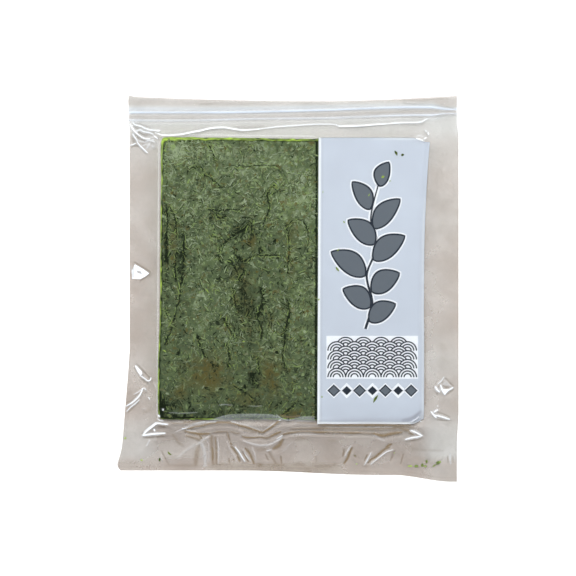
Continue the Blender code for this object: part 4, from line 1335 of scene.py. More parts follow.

# Creases of the upper film: strength, full width (MM) and points (MM in the bag's frame). Above 0
# the crease carries a painted highlight; below 0 it carries a painted dark line of shade.
CREASES = (
    # shoulder over the stack's upper edge
    (1, 1.7, (-96.6, 115.4), (-95, 114.7), (-93, 114.3), (-88, 114.3), (-80, 114.9), (-75, 115.9),
     (-70, 117), (-65, 117.9), (-58, 119.6), (-48.4, 120.3), (-41, 119.2), (-34.3, 118.3), (-28, 118.5),
     (-22, 119)),
    (0.8, 1.7, (-22, 119), (-15, 119.9), (-8.2, 120.8), (5.2, 121.8), (20.1, 122.7), (33.5, 122.7),
     (36.5, 122)),
    (1, 1.7, (36, 122.2), (38.5, 121.2), (46, 121.3), (55.1, 121.7), (64, 122.4), (73.8, 123)),
    (0.9, 1.7, (73.8, 123), (82, 123.7), (89, 124), (95, 124), (99.5, 124.4), (101.5, 125.5),
     (104.4, 127.1)),
    (0.5, 2, (104, 127), (108, 128.6), (111, 130.4), (114, 131.2), (118, 131.1), (124, 130.5)),
    (-0.3, 1.1, (-84, 113.2), (-76, 113.6), (-71, 114.9), (-66, 116.1)),
    (-0.38, 1, (-90, 116.2), (-82, 116.8), (-75, 117.6), (-69, 119), (-60, 120.8)),
    (-0.26, 1, (-58, 117.8), (-48, 118.4), (-36, 116.6), (-24, 117.2)),
    (-0.26, 1, (38, 119.6), (48, 119.7), (58, 120.2)),
    (-0.3, 1, (84, 122.2), (93, 122.5), (99, 122.6), (103, 124.6)),
    (-0.45, 1.1, (-42, 121.6), (-34, 120.6), (-26, 120.7), (-18, 121.6)),
    (0.26, 1.8, (-64, 114.4), (-50, 115.4), (-36, 113.8), (-20, 113.6), (-4, 113.2)),
    (0.22, 2.2, (-92, 121.8), (-70, 123.2), (-40, 124), (0, 125), (40, 125.8)),
    # web of the upper left corner
    (0.95, 1.5, (-116.2, 124.2), (-114.5, 122.5), (-112, 121.7), (-109.5, 121), (-107, 119.8),
     (-104, 118.9), (-101, 118.3), (-98, 117.9)), (0.95, 1.9, (-98.2, 117.9), (-95.6, 117.8)),
    (0.98, 2, (-118, 122.6), (-116.8, 120.6), (-115.6, 118.8), (-114, 116.8), (-112.4, 115.4)),
    (0.95, 1.6, (-113.4, 116.2), (-111.6, 114.8), (-109.8, 113.4), (-107.3, 112.2), (-105, 111.8),
     (-103, 111.7)),
    (0.9, 1.4, (-113.6, 117.9), (-110.5, 118.4), (-108, 117.2), (-105, 116.6), (-102.4, 116),
     (-100.4, 115)), (0.9, 1.4, (-116, 115.6), (-114.6, 113), (-113.2, 111.2), (-112.8, 109.6)),
    (0.95, 1.5, (-112.8, 109.8), (-112, 108.4), (-110, 106.2), (-108, 104.4), (-106, 102.4),
     (-104.8, 101.4)),
    (0.66, 1.3, (-113, 111.4), (-111.5, 110.7), (-109.5, 109.8), (-107, 109.4), (-104.6, 109.7)),
    (0.92, 1.4, (-118, 107.2), (-115.6, 107.8), (-114, 108.6)),
    (0.92, 1.5, (-100.2, 113.9), (-98.5, 112.8), (-97.2, 111.8)),
    (0.8, 1.3, (-101.8, 110.9), (-100.2, 110.9)),
    (0.6, 2.2, (-103, 108.6), (-104.4, 106.2), (-105.8, 104.6)),
    (0.6, 1.6, (-109, 106.4), (-106.4, 107.6), (-104, 107.8)), (0.6, 1.8, (-98.8, 116.5), (-96, 115.2)),
    (0.45, 1.5, (-97.4, 110.6), (-97.2, 105.2)),
    (-0.55, 1, (-117.3, 125.3), (-115.2, 125), (-113.8, 124.2), (-111.6, 123.8), (-109, 122.4),
     (-106, 121.4), (-103, 120.4)),
    (-0.5, 0.9, (-116.5, 122.3), (-115, 121), (-113.2, 120), (-111.5, 119.8)),
    (-0.74, 1.1, (-110.2, 119.1), (-108, 118.9), (-105.6, 117.9), (-103, 117.7), (-100.6, 117), (-99, 116)),
    (-0.79, 1.2, (-113.2, 117.2), (-110.4, 116.5)),
    (-0.6, 1, (-110, 116), (-109, 115.4), (-106, 114.9), (-103.2, 114.9)),
    (-0.72, 1.1, (-115.2, 115.8), (-113, 113.6), (-111, 112), (-109, 111.2), (-106, 110.5),
     (-102.2, 110.3), (-99.4, 109.4)), (-0.48, 2.6, (-116.4, 116.6), (-116.2, 112.6), (-115.2, 109.6)),
    (-0.43, 1.4, (-102.4, 113.4), (-101.6, 112.4)),
    (-0.62, 1.1, (-117.4, 105.4), (-115.5, 106.5), (-112, 106.3), (-109.6, 104.6), (-107, 102.2),
     (-105.4, 100.6)), (-0.55, 1, (-97.8, 114.1), (-95.4, 113.2)),
    (-0.41, 1.6, (-101.6, 107), (-100.4, 105.6)),
    (-0.6, 1.5, (-5.6, -94.2), (-2, -95.4), (3, -95.8), (8.6, -94.6)),
    # glints on the stack, at the label's upper corner and beside it, and the fold under the label
    (0.5, 1.2, (-51.8, -87), (-46.5, -86.4), (-41.2, -87.2)),
    (0.46, 1.1, (-29.8, -87.2), (-24, -87.8), (-19.4, -87.4)),
    (0.95, 1.5, (95.8, 112), (98.6, 111), (101.4, 109.7)), (0.45, 1.6, (97.6, 114.2), (100.2, 114.6)),
    (0.34, 2.2, (110.6, 112.4), (112.6, 114.6)),
    (-0.59, 1.2, (2, -104.6), (24, -104), (50, -104.4), (76, -103.8), (94, -103.4)),
    # lip and zip at the right end
    (-0.24, 1.1, (30, 129.3), (60, 130), (90, 131), (106, 131.9)),
    (-0.34, 1.3, (84, 141), (96, 141), (104, 141.2), (110, 141.9), (122, 142)),
    (-0.46, 1.1, (88, 138.4), (96, 138.1), (104, 138), (110, 137.2), (118, 136.2), (125, 134.8)),
    (-0.34, 1, (60, 131.2), (76, 131.5), (90, 131.6), (104, 131.3), (110, 131.4)),
    (-0.3, 2, (86, 139.4), (87.6, 138.4)),
    (0.62, 1.6, (106, 136), (112, 135.6), (118, 134.7), (125, 133.6)),
    (0.34, 2, (112, 131.4), (118, 131.2), (124, 130.8)),
    # upper right corner
    (0.85, 1.4, (102.3, 118.3), (103.4, 116.9)), (0.95, 1.6, (104.5, 116.4), (104.9, 114.9)),
    (0.95, 1.6, (102.9, 112.7), (101.7, 111.4)), (0.6, 1.1, (96, 113.4), (98, 114.1), (100.6, 112.8)),
    (0.8, 1.2, (95, 111.9), (97.5, 110.9), (99.6, 110.3)), (0.3, 1.4, (113.6, 111.2), (115.4, 113.8)),
    (0.35, 1.2, (105.6, 119.2), (106.6, 117.4)), (-0.4, 1.1, (101.6, 116.4), (103.6, 114.4)),
    # dent half way up the left side
    (-0.62, 1, (-115, 19.9), (-109, 16.2), (-102.8, 12.8)),
    (-0.58, 1, (-102.6, 11.4), (-107, 7.8), (-110.6, 5.8)), (0.7, 0.9, (-117.6, 17.6), (-117.2, 11)),
    # lens and arcs below it
    (0.92, 1.5, (-110.4, -65), (-107.2, -67.2), (-104.6, -68.9), (-102.9, -68.4), (-102.2, -66.4)),
    (-0.66, 1, (-113.4, -56.4), (-108, -61.8), (-103.6, -66.2)),
    (-0.55, 1, (-115.2, -59), (-112.4, -63.6), (-108.6, -68), (-104.5, -70.4)),
    (-0.6, 1.3, (-109, -64.2), (-108.2, -65.4)), (0.5, 1.6, (-103.6, -70.4), (-103.4, -71.8)),
    (0.5, 1.4, (-99.6, -69.6), (-98.2, -74.5)),
    (0.95, 1.8, (-121, -88), (-117, -85.6), (-114, -83.2), (-111.2, -80.2), (-109.4, -77), (-108.6, -74.6)),
    (0.8, 1.3, (-108.8, -74.8), (-107, -74.6), (-105.8, -76.2)),
    (0.7, 1.3, (-115.2, -79.2), (-111.6, -77.2), (-109.6, -75.4)),
    (0.85, 1.4, (-120.8, -92), (-117.8, -88.9), (-114.6, -86.4), (-111.2, -83.2)),
    (-0.52, 0.9, (-119.6, -92.8), (-115.4, -88.9), (-112.2, -85.4)),
    (-0.36, 0.9, (-119.4, -88.9), (-114.8, -85)), (-0.52, 1, (-120.6, -85.4), (-116, -83.2), (-112.6, -80)),
    (0.78, 1.5, (-104.2, -80.8), (-103, -83)), (0.5, 1.1, (-109, -89.9), (-105.5, -89.6)),
    (-0.22, 2, (-108, -93), (-104, -91), (-102, -88)),
    # peak at the stack's lower left corner
    (0.96, 2.2, (-108.4, -109.6), (-105.5, -106.4), (-102, -103.6), (-99, -101.2), (-96.8, -100.4),
     (-93, -100.9), (-89.8, -101.2)),
    (0.96, 2.4, (-108.4, -109.8), (-105, -109.2), (-100, -108.5), (-91.8, -107.9)),
    (0.95, 2.3, (-99.9, -105), (-99.4, -106.2)),
    (-0.85, 0.9, (-109.4, -108.6), (-105, -104.8), (-101, -101.6), (-98, -99.4)),
    (-0.64, 0.9, (-106.4, -111.2), (-100, -110.4), (-93, -109.8)),
    (-0.58, 0.8, (-96.2, -102.4), (-91, -102.8)), (0.32, 1.3, (-109, -110.8), (-108.8, -115.4)),
    (0.66, 1.2, (-103.2, -112.8), (-104.5, -115.5), (-105.8, -117.8)),
    (0.32, 1.2, (-99.2, -110.8), (-99.2, -114)), (0.53, 1.4, (-95.4, -125), (-93.8, -129.4)),
    (0.4, 0.9, (-92.8, -122), (-90, -127), (-88, -131.4)), (0.32, 0.9, (-88.4, -121.8), (-82.4, -125.4)),
    (-0.49, 1, (-94.6, -121.4), (-91.4, -127.6)), (-0.26, 2.2, (-86, -109), (-82, -115), (-78, -118)),
    (-0.33, 1.1, (-92, -127), (-88.8, -132.2)), (0.92, 1.8, (-93.8, -89.4), (-92.8, -90.7)),
    (0.95, 2.1, (-96.5, -94.3), (-95.7, -95.5)), (0.8, 1.3, (-97.2, -96.8), (-95.5, -98.2), (-92.6, -98.7)),
    # arcs of film under the stack's lower edge
    (-0.92, 1.3, (-79, -104.6), (-74, -104.2), (-69, -103.2), (-65, -102.4), (-60, -101), (-55, -100.2),
     (-50, -99.9), (-45, -100)),
    (-0.98, 1.45, (-46, -99.9), (-40, -100.6), (-36, -102), (-30, -103.6), (-25, -105.4), (-20, -107.2),
     (-18, -107.4)), (-0.9, 1, (-72, -103.9), (-66, -102.6), (-61, -101.2)),
    (-0.98, 1.6, (-18.6, -107.4), (-15, -105), (-10, -101.2), (-5.8, -98)),
    (-0.95, 1.6, (-77, -106.2), (-70, -107.8), (-65, -108.5), (-58.6, -108.3)),
    (-0.64, 0.9, (-55.4, -107.3), (-50, -106.9), (-45.6, -106.6)),
    (-0.51, 0.9, (-34, -105.5), (-28, -106.8), (-23, -107.7)),
    (-0.46, 1.2, (-43, -106.4), (-38, -108.4), (-36.4, -107.2)),
    (-0.95, 1.2, (-35, -110), (-31, -111.2), (-26, -111.2), (-20.5, -110.6)),
    (-0.58, 1.4, (-21, -110.8), (-17, -111.6), (-12.5, -110.8)),
    (-0.95, 1.6, (-12.8, -110.2), (-10, -108.8), (-5.6, -106.9)),
    (-0.77, 1.1, (-9, -112.4), (-5.5, -110.2), (-3.6, -108.9)),
    (-0.95, 1.2, (-4, -109), (0, -107.9), (4, -107.3), (9, -106.6)),
    (-0.64, 1.1, (8, -106.6), (14, -106.4), (19, -106.6)),
    (-0.95, 1.3, (17.5, -106.6), (23, -107.2), (30.5, -107)),
    (-0.64, 1.2, (29, -107), (36, -107.2), (42, -107.2)),
    (-0.95, 1.4, (40, -107.3), (47, -107.7), (54.5, -107.5)),
    (-0.51, 1.3, (53, -107.5), (59, -108), (65, -108.2)),
    (-0.95, 2.2, (63.4, -108.2), (68, -109.4), (72, -109.6), (77, -108.3), (84.6, -107.2)),
    # painted shadow under the label's lower edge
    (-0.9, 1.1, (24, -101.6), (29, -101.7), (35, -101.8)),
    (-0.95, 1.4, (33, -101.8), (45, -101.9), (60, -101.7), (80, -101.9), (91, -102)),
    (-0.51, 1.2, (24, -104.3), (45, -104.4), (60, -104.7), (72, -104.2), (80, -104.6)),
    (-0.58, 2.8, (84, -104.2), (90, -106), (93, -108.4)),
    (-0.58, 0.9, (5, -100.4), (12, -100.3), (21, -100.4)),
    (0.5, 1.8, (-84, -107.2), (-76, -103.4), (-70, -101.2), (-65, -100.2), (-60, -99.2), (-54, -98.9)),
    (0.52, 1.3, (-42, -99.1), (-35, -100.6), (-30, -101.9), (-26, -103.4), (-22, -104.8), (-18.8, -105.6)),
    (0.51, 1.1, (-17.4, -104.8), (-14, -102.6), (-9.6, -99.4)),
    (0.38, 1.1, (-17.6, -108.8), (-13, -106), (-8, -102.6), (-5, -100.4)),
    (0.4, 1.2, (-76, -105.4), (-68, -106.6)), (0.32, 1.4, (-70, -104.4), (-60, -103.6)),
    (0.53, 1.2, (1.4, -109.4), (5, -109), (12, -108.7), (19, -108.9), (25, -109.2)),
    (0.23, 1.2, (25, -109.2), (40, -109.4), (60, -109.6)),
    (0.48, 1.8, (63.8, -109.8), (68, -111.9), (72, -113.6)),
    (0.25, 1.2, (30, -103.2), (55, -103.4), (78, -103.2)),
    (0.5, 1.2, (5, -98.8), (12, -98.7), (20.4, -98.8)), (0.28, 2, (-1, -100.2), (8, -101.6), (18, -102)),
    (-0.52, 1.9, (-86, -100.2), (-78, -99.9), (-70, -99.5), (-62, -99.2)),
    (-0.4, 1.8, (-60, -99.8), (-50, -99.1), (-39, -99.5)),
    (-0.46, 2.4, (-76, -109.8), (-70, -111.4), (-66, -113)),
    # fan of folds below the arcs
    (0.53, 1.8, (-67, -116), (-62.5, -112.5), (-58.6, -109.8)),
    (0.38, 3, (-83, -127), (-75, -120.2), (-66.4, -115)),
    (0.51, 4.4, (-64, -116), (-62.2, -123), (-62, -132)),
    (0.53, 1, (-60.2, -112), (-59.2, -120), (-59.4, -130)),
    (-0.38, 3.9, (-65.6, -116.5), (-68.2, -123), (-69.2, -132)),
    (-0.79, 1.3, (-66.2, -109.6), (-64.2, -112.2)),
    (-0.42, 2.9, (-57, -110), (-57, -116), (-56.4, -123), (-56, -132)),
    (-0.95, 1.2, (-56.3, -118.5), (-56.2, -128.5)),
    (-0.74, 1.1, (-54.6, -110.5), (-53.8, -117), (-53.6, -131)),
    (0.58, 1.3, (-52.6, -112), (-51.8, -120), (-52, -131)),
    (0.21, 5, (-49, -112), (-47.6, -120), (-46.6, -130)),
    (-0.67, 1.2, (-45.6, -106.6), (-44.6, -110), (-43.2, -113.8)),
    (-0.95, 1.1, (-42.9, -115.2), (-42.2, -116.8)),
    (-0.95, 1.4, (-42.2, -118), (-40, -121), (-37.2, -124.8)), (-0.95, 1.6, (-37.6, -125.6), (-36, -129.2)),
    (0.48, 1.2, (-45.6, -113.4), (-43.8, -119), (-41, -124), (-37.8, -129.4)),
    (-0.64, 1.3, (-44.4, -127.2), (-43.6, -130.4)), (-0.46, 1.3, (-41, -127.4), (-40.4, -129.2)),
    (0.92, 1.6, (-39.6, -118.4), (-36.8, -122), (-34.5, -125.8), (-32.2, -129.4)),
    (-0.84, 1.6, (-33.4, -122.6), (-31.2, -126), (-29.6, -129.4)),
    (0.58, 1.3, (-33.8, -119.4), (-31.3, -124), (-28, -129.2)),
    (-0.95, 1.5, (-31.8, -119.4), (-28.5, -123.8), (-25.4, -131)),
    (0.53, 1.3, (-27, -118.6), (-24.8, -124), (-24, -129.4)), (-0.54, 1, (-16.8, -124), (-14.8, -128.6)),
    (-0.67, 1.2, (-5.4, -125.4), (-4.6, -131)), (0.32, 1.4, (-3.8, -125.6), (-3.4, -130.4)),
    (-0.38, 2, (-15, -121), (-12, -126), (-9, -131)),
    (0.53, 2.4, (-33.5, -113.6), (-28, -115.6), (-22, -117), (-16, -116.9), (-11, -115.4), (-8, -113),
     (-4.4, -110.3)), (0.64, 1.4, (-8.4, -114.2), (-4.6, -111)),
    (0.58, 1.3, (-16, -121.4), (-12.4, -120.5)), (0.36, 1.2, (-36.2, -109.8), (-34.2, -112.6)),
    (0.32, 2.2, (-3.2, -121.6), (-0.5, -118), (3, -114.6)),
    (-0.7, 3.1, (-10.8, -119.6), (-6.6, -117.2), (-4.2, -112.8)),
    (0.25, 2.6, (-34, -109), (-27, -109.4), (-20, -109.2)),
    # folds to the right of the fan
    (-0.95, 1.6, (47.8, -118.8), (46, -123), (44.5, -127), (42, -131)),
    (0.64, 1.5, (47, -117.4), (44, -122.4), (42.8, -125.6)), (-0.54, 1.2, (41.9, -120), (41, -125.6)),
    (0.36, 1.2, (48.8, -121.4), (47, -126)), (-0.54, 1.5, (49.8, -124.6), (50.6, -125.8)),
    (-0.74, 1.4, (57.4, -129), (59.2, -124.4)), (0.7, 1.7, (62.2, -122.6), (60, -127), (57.2, -132)),
    (-0.92, 1.5, (60, -130.4), (62, -128), (65, -126.3), (68, -123.8), (71.8, -120.4), (75.6, -118.6)),
    (0.78, 1.3, (61.8, -131.6), (66, -128), (70, -124.8), (74, -122), (78.6, -120.4)),
    (-0.95, 1.7, (73.4, -118.4), (75.5, -117), (77.4, -116.2)),
    (-0.44, 1.2, (84.3, -131.4), (86.2, -123.8)), (-0.38, 1.2, (21, -125.4), (21.2, -130)),
    (-0.42, 0.9, (102, -34), (102.1, -60), (102.3, -88)), (0.24, 1, (-92, -99), (-84, -99.3), (-78, -99.6)),
    (-0.18, 2.4, (88, -116), (93, -119.6), (104, -120.8), (116, -121.4)),
    (0.23, 1.6, (87, -131), (89.6, -122)), (-0.33, 1.5, (79.6, -121), (76.6, -129)),
    # chevron and streak at the label's lower corner
    (0.96, 2.2, (91.8, -105.8), (96, -107.6), (100.1, -109.8)),
    (0.92, 2.1, (99.8, -109.9), (96, -110.8), (92.5, -111.3), (87.6, -112.6)),
    (-0.64, 0.9, (93, -104.9), (97.5, -106.6), (100.9, -108.7)),
    (-0.7, 1.1, (88.6, -113.4), (94, -112.8), (99.4, -111.2)), (-0.7, 1.7, (90.6, -107), (93.4, -109.4)),
    (0.94, 2.3, (106.8, -92), (109, -94.6), (110.6, -96.4)),
    (0.96, 2, (110, -94.6), (114, -95.6), (117, -96.6), (120.8, -97.9)),
    (0.95, 2.1, (109.2, -92.2), (111.8, -90.6)), (0.6, 2, (111, -87.6), (112.4, -88)),
    (-0.52, 1, (112.6, -92.4), (117, -94.2), (121, -96.2)), (-0.42, 0.9, (111.6, -97.8), (119, -98.9)),
    (-0.5, 1, (108.6, -91.4), (110.4, -89.9)), (0.36, 1.6, (107.4, -98.8), (108.4, -99.4)),
    (0.7, 1.4, (121.2, -123.6), (121.4, -128.6), (121.9, -131.6)),
    (-0.51, 0.9, (119.4, -125.6), (119.8, -130.4)), (-0.44, 0.9, (123.2, -125.4), (123.4, -130.4)),
    (0.8, 1.1, (91.3, -99.6), (94.5, -97.8), (98, -95.4)), (0.85, 1.3, (98.4, -98.7), (99.2, -99.2)),
    # folded diamond on the right side
    (0.75, 1.5, (116.7, -66), (114.6, -69), (111.6, -71.8)),
    (0.97, 2.3, (110.2, -73.2), (111.4, -75.6), (113.2, -77.3)),
    (0.97, 2.4, (114.1, -72.4), (115.4, -76), (117.3, -79.2)),
    (0.95, 1.9, (117.3, -79), (119.5, -76.4), (123.4, -74.2)),
    (0.62, 1.3, (117, -68.2), (119, -70.5), (121, -72.5), (123.4, -74.2)),
    (-0.64, 1.1, (118, -67.6), (121, -70.7), (124, -73.2)),
    (-0.55, 1.1, (115.8, -71.6), (117, -73.5), (121.6, -74)),
    (-0.62, 1.1, (118.4, -79.6), (121.5, -77.2), (123.8, -75.4)),
    (-0.55, 1.1, (109, -72.6), (109.8, -76), (112, -78.8)), (-0.5, 1.2, (112.2, -72.8), (114, -76.8)),
    (-0.5, 1, (117.3, -76.4), (118.1, -77)),
    # bends seen over the sheets
    (0.42, 1.5, (-88.8, -92.7), (-85, -92.5), (-80, -92.9), (-67.6, -92.3)),
    (0.62, 1.3, (-8.7, -93.8), (-7, -95.3), (-4.5, -97), (-1, -98), (4, -97.9)),
    (0.5, 1.3, (3, -97.9), (7, -96.6), (11, -95.7), (19.6, -95.5)),
    (0.34, 1.2, (-44, -93.9), (-40, -93.7), (-25, -93.5), (-12, -93.9)),
)

# Small facets of film that carry a painted highlight: their corners (MM) and strength.
FACETS = (
    (((-116.8, 7), (-116.8, 14), (-114.3, 18.9), (-108.5, 14.9), (-103, 11.8), (-106, 9.2),
     (-110.3, 6.9)), 0.94),
    (((-114.7, -58.2), (-113.8, -57.1), (-109.5, -61.6), (-108.6, -63.8), (-110.6, -65.2),
     (-113, -61.9)), 0.95),
    (((-104, 114.4), (-99.5, 112), (-96.4, 109), (-98, 105), (-103.4, 103), (-107, 107.6)), 0.36),
    (((114.4, -73.4), (117.2, -79), (122.4, -74.7), (118.5, -75)), 0.92),
    (((116.5, -69.2), (121.4, -73), (118, -72.9), (115.6, -71.6)), 0.5),
    (((109.2, -93.6), (113, -94.8), (110.6, -97)), 0.6),
)

# Gaps cut in the facets' painted highlight, where the film stays dark: their corners (MM) and strength.
HOLES = (
    (((-113.4, 13.4), (-110.4, 13), (-109, 10.9), (-112.4, 11.4)), 0.42),
    (((-116.2, 16.2), (-115.5, 17), (-115.4, 8.2), (-116.2, 8)), 0.3),
)


def crease_fields(x, y, widen=1.0):
    """Strongest painted highlight and strongest painted dark line of the creases at each point: each
    crease is a bell across its smooth path, half its full width wide in the middle and narrower at its ends."""
    light, dark = np.zeros(np.shape(x)), np.zeros(np.shape(x))
    for strength, width, close, gap, along in lines_near(x, y, CREASES, 6, 6, 1.6 * widen):
        taper = 0.55 + 0.45 * np.sin(np.pi * np.clip(along, 0.02, 0.98)) ** 0.5
        field = light if strength > 0 else dark
        field[close] = np.maximum(field[close], abs(strength) * bell(gap, width * widen * taper * 0.5))
    return light, dark


def facet_field(x, y, facets):
    """Strongest of several convex facets: full inside the corners' outline, eased at its sides."""
    field = np.zeros(np.shape(x))
    for corners, strength in facets:
        corners = np.array(corners) * MM
        middle = corners.mean(0)
        inside = np.full(np.shape(x), np.inf)
        for a, b in zip(corners, np.roll(corners, -1, 0)):
            normal = np.array([a[1] - b[1], b[0] - a[0]]) / np.hypot(*(b - a))
            normal = normal * np.sign(normal @ (middle - a))
            inside = np.minimum(inside, (x - a[0]) * normal[0] + (y - a[1]) * normal[1])
        field = np.maximum(field, strength * past(inside, -0.25, 0.5))
    return field


def zip_pinch(x):
    """How much of its width the zip keeps: it is crushed in the right-hand weld."""
    return 1.0 - 0.55 * past(x, 106, 14)


def zip_offset(x, y):
    """Distance above the zip's middle line, as if the zip weren't crushed."""
    return (y - zip_middle(x)) / zip_pinch(x)


def zip_height(offset):
    """Height of the zip's profile across its width: a flat tape with rounded ribs."""
    height = np.full(np.shape(offset), ZIP_TAPE)
    for place, rise, half in ZIP_RIBS:
        height = height + rise * MM * near(offset, place, half)
    return height


def film_rest(x, y, sizes):
    """Height of the upper film without creases: over the stack it lies on the sheets; outside, it
    falls as a power of the share of the way to the seal; beyond, it runs over the zip to the lip."""
    u, v = to_stack(x, y)
    half_w, half_h = sizes.sheet_width / 2 + 1 * MM, sizes.sheet_height / 2 + 1 * MM
    aside = np.maximum(np.maximum(u - half_w - 4 * MM, -half_w - u), 0)
    out = np.hypot(aside, np.maximum(np.abs(v) - half_h, 0))
    room = rim_room(x, y) - BORDER
    zip_foot = zip_middle(x) - ZIP_WIDTH / 2
    room = np.maximum(np.minimum(room, zip_foot - y), 0.0)
    share = room / np.maximum(out + room, 1e-9)
    rim = FILM_RIM + (FILM_BY_ZIP - FILM_RIM) * past(y, 100, 20)
    body = rim + (FILM_OVER_STACK + sheet_waves(x, y) - rim) * share ** FALL
    offset = zip_offset(x, y)
    lip = LIP_HEIGHT + 0.12 * MM * np.sin(x * 60.0) * past(offset, 4, 4)
    over = np.maximum(lip, zip_height(offset) * past(np.abs(offset), 9, -6) + 0.06 * MM)
    welded = FILM_RIM + 0.5 * MM
    over = welded + (over - welded) * ease(side_room(x, y) / BORDER)
    return body + (over - body) * past(y - zip_foot, -1.8, 2.4)


def contents_height(x, y, sizes):
    """Height of whatever lies under the upper film: the lower film, the sheets or the label."""
    u, v = to_stack(x, y)
    out = np.maximum(np.abs(u) - sizes.sheet_width / 2, np.abs(v) - sizes.sheet_height / 2)
    height = np.where(out < 0.6 * MM, stack_height(sizes, x, y) + 0.20 * MM, FILM_RIM - 0.10 * MM)
    t = (y - LABEL_TOP_Y + sizes.label_height) / sizes.label_height
    beside = np.maximum(label_left(t) - x, x - label_right(y, sizes))
    on_paper = (t > -0.004) & (t < 1.004) & (beside < 1 * MM)
    return np.where(on_paper, np.maximum(height, label_height(x, y, sizes) + 0.08 * MM), height)


# Upper edge (MM) of the band of painted sheen where the film lifts off the lower end of the sheets.
LIFTED = (
    (-62, -98.4), (-55, -96.8), (-50, -95), (-45, -93.8), (-40, -93.4), (-25, -93.2), (-12, -93.6),
    (-8.5, -94.6), (-5, -97.2), (0, -98.2), (5, -97.6), (10, -96), (19.5, -95.8), (21, -99),
)

# Soft warm darker patches on the upper film, most of them low down: middle, half sizes (MM) and strength.
WARM_PATCHES = (
    (-20, -120.5, 6, 1.8, 0.4), (-21, -132, 3, 2.2, 0.55), (-29, -127, 2.4, 3, 0.35),
    (9, -112, 7, 1.9, 0.42), (33, -113.6, 5, 1.8, 0.32), (8, -131.6, 6, 1.8, 0.42), (28, -133, 9, 1.4, 0.4),
    (35, -131.6, 1.6, 1.4, 0.45), (-50, -131.6, 11, 1.2, 0.4), (-78, -132.6, 22, 1.3, 0.34),
    (-8, -132, 8, 1.6, 0.36), (58, -133, 3.4, 1, 0.4), (-118, -130.5, 8, 2, 0.22), (94, -120, 7, 2, 0.25),
    (111, -132, 2, 1.2, 0.4), (90, 113.2, 5, 1, 0.45), (60, 113.6, 12, 0.9, 0.2), (-62, 138, 8, 0.9, 0.36),
    (-7, -121.4, 2.4, 2.4, 0.2), (-104, -91.2, 2.4, 1.2, 0.36),
)


def cool_bands(y):
    """Two level bands where the film looks cooler, one above the middle and one low down."""
    return near(y, 58, 26) + 0.8 * near(y, -57, 9)


def zip_line_rise(x):
    """How far the zip's upper bright line climbs above its rib towards the right."""
    return 0.8 * MM * past(x, 40, 50)


def film_fields(x, y, sizes):
    """Looks of the upper film: tone from -1, bluish, to 1, warm; veil, glint (painted highlight) and
    fold (painted shade, and the seal's own line) from 0 to 1.
    """
    offset = zip_offset(x, y)
    light, fold = crease_fields(x, y)
    glint = np.maximum(light, facet_field(x, y, FACETS)) * (1 - facet_field(x, y, HOLES))
    # The zip's ribs: two bright lines, painted highlights, with a darker band between them, and a
    # soft bluish band on the lip.
    rise = zip_line_rise(x)
    sway = 0.5 * MM * np.cos(2 * np.pi * (x + 28 * MM) / (126 * MM))
    uneven = 0.85 + 0.3 * layered_noise(x, y * 0.2, 26 * MM, 90)
    cool = 0.6 * near(offset - rise, 5.0, 1.8)
    right = past(x, 40, 40)
    for place, half, strength, bluish in ((2.6 * MM + rise, 1.3 + 0.4 * right, 0.80 - 0.08 * right, 1.2),
                                          (-3.0 * MM + sway, 1.35, 0.60 + 0.12 * right, 0.6)):
        line = bell(offset - place, half * MM)
        glint, cool = np.maximum(glint, strength * uneven * line), np.maximum(cool, bluish * line)
    groove, lip = near(offset - rise / 2, -0.3, 1.5), past(offset - rise, 3.6, 2)
    seal = near(y - bottom_edge(x), 2.8, 0.9)
    fold = np.maximum(fold, 0.16 * seal * (0.4 + layered_noise(x, y, 9 * MM, 91)))
    # Painted highlights outline the stack's left and upper sides, and a darker line runs by the label.
    u, v = to_stack(x, y)
    beside = near(u, -97.0, 0.9) * past(np.abs(v), 106, -6)
    above = near(v, 107.6, 0.9) * past(u, -96, 40) * past(u, 22, -5)
    glint = np.maximum(glint, 0.50 * beside + 0.47 * above)
    by_label = near(x - label_right(y, sizes), 1.0, 0.8) * past(y, 104, -6) * past(y, -90, 6)
    fold = np.maximum(fold, by_label * (0.04 + 0.18 * past(y, 10, -60)))
    fold = np.maximum(fold, 0.20 * near(rim_room(x, y), 0, 0.7))
    tone = 0.04 + 0.30 * past(y, 123, -16) + 0.34 * past(y, 114, -46)
    tone = tone + 0.30 * past(y, -70, -40) * past(np.abs(x + 2 * MM), 112, -30)
    tone = tone - 0.10 * past(x, 100, 10) - 0.16 * cool_bands(y)
    tone = tone + 0.25 * (layered_noise(x * 0.35, y, 9 * MM, 92) - 0.5) + 0.7 * groove + 0.30 * lip - cool
    fold = np.maximum(fold, 0.62 * strongest_spot(x, y, WARM_PATCHES))
    # Painted sheen along the band where the film lifts off the lower end of the sheets.
    lifted = np.array(LIFTED) * MM
    inside = (x > lifted[0, 0]) & (x < lifted[-1, 0])
    edge = np.interp(x, *lifted.T)
    band = inside * past(y - edge, 0.35, -0.7) * past(y, -98.9, 1.0)
    band = band * (0.325 + 0.05 * near(edge - y, 0.5, 0.9) + 0.14 * layered_noise(x * 0.4, y, 4 * MM, 93))
    glint = np.maximum(glint, band)
    veil = 0.04 * lip + 0.07 * groove + 0.04 * past(y, -129, -4)
    return np.clip(tone, -1, 1), np.clip(veil, 0, 1), np.clip(glint, 0, 1), np.clip(fold, 0, 1)


def film_plan(across, up):
    """World X and Y of a film's grid: shares of the way across between the two sides, and of the
    way up between the two edges."""
    s, t = np.meshgrid(across, up, indexing="ij")
    guess = LEFT_X + (RIGHT_X - LEFT_X) * s
    low, high = bottom_edge(guess), top_edge(guess)
    y = low + (high - low) * t
    return left_edge(y) + (right_edge(y) - left_edge(y)) * s, y


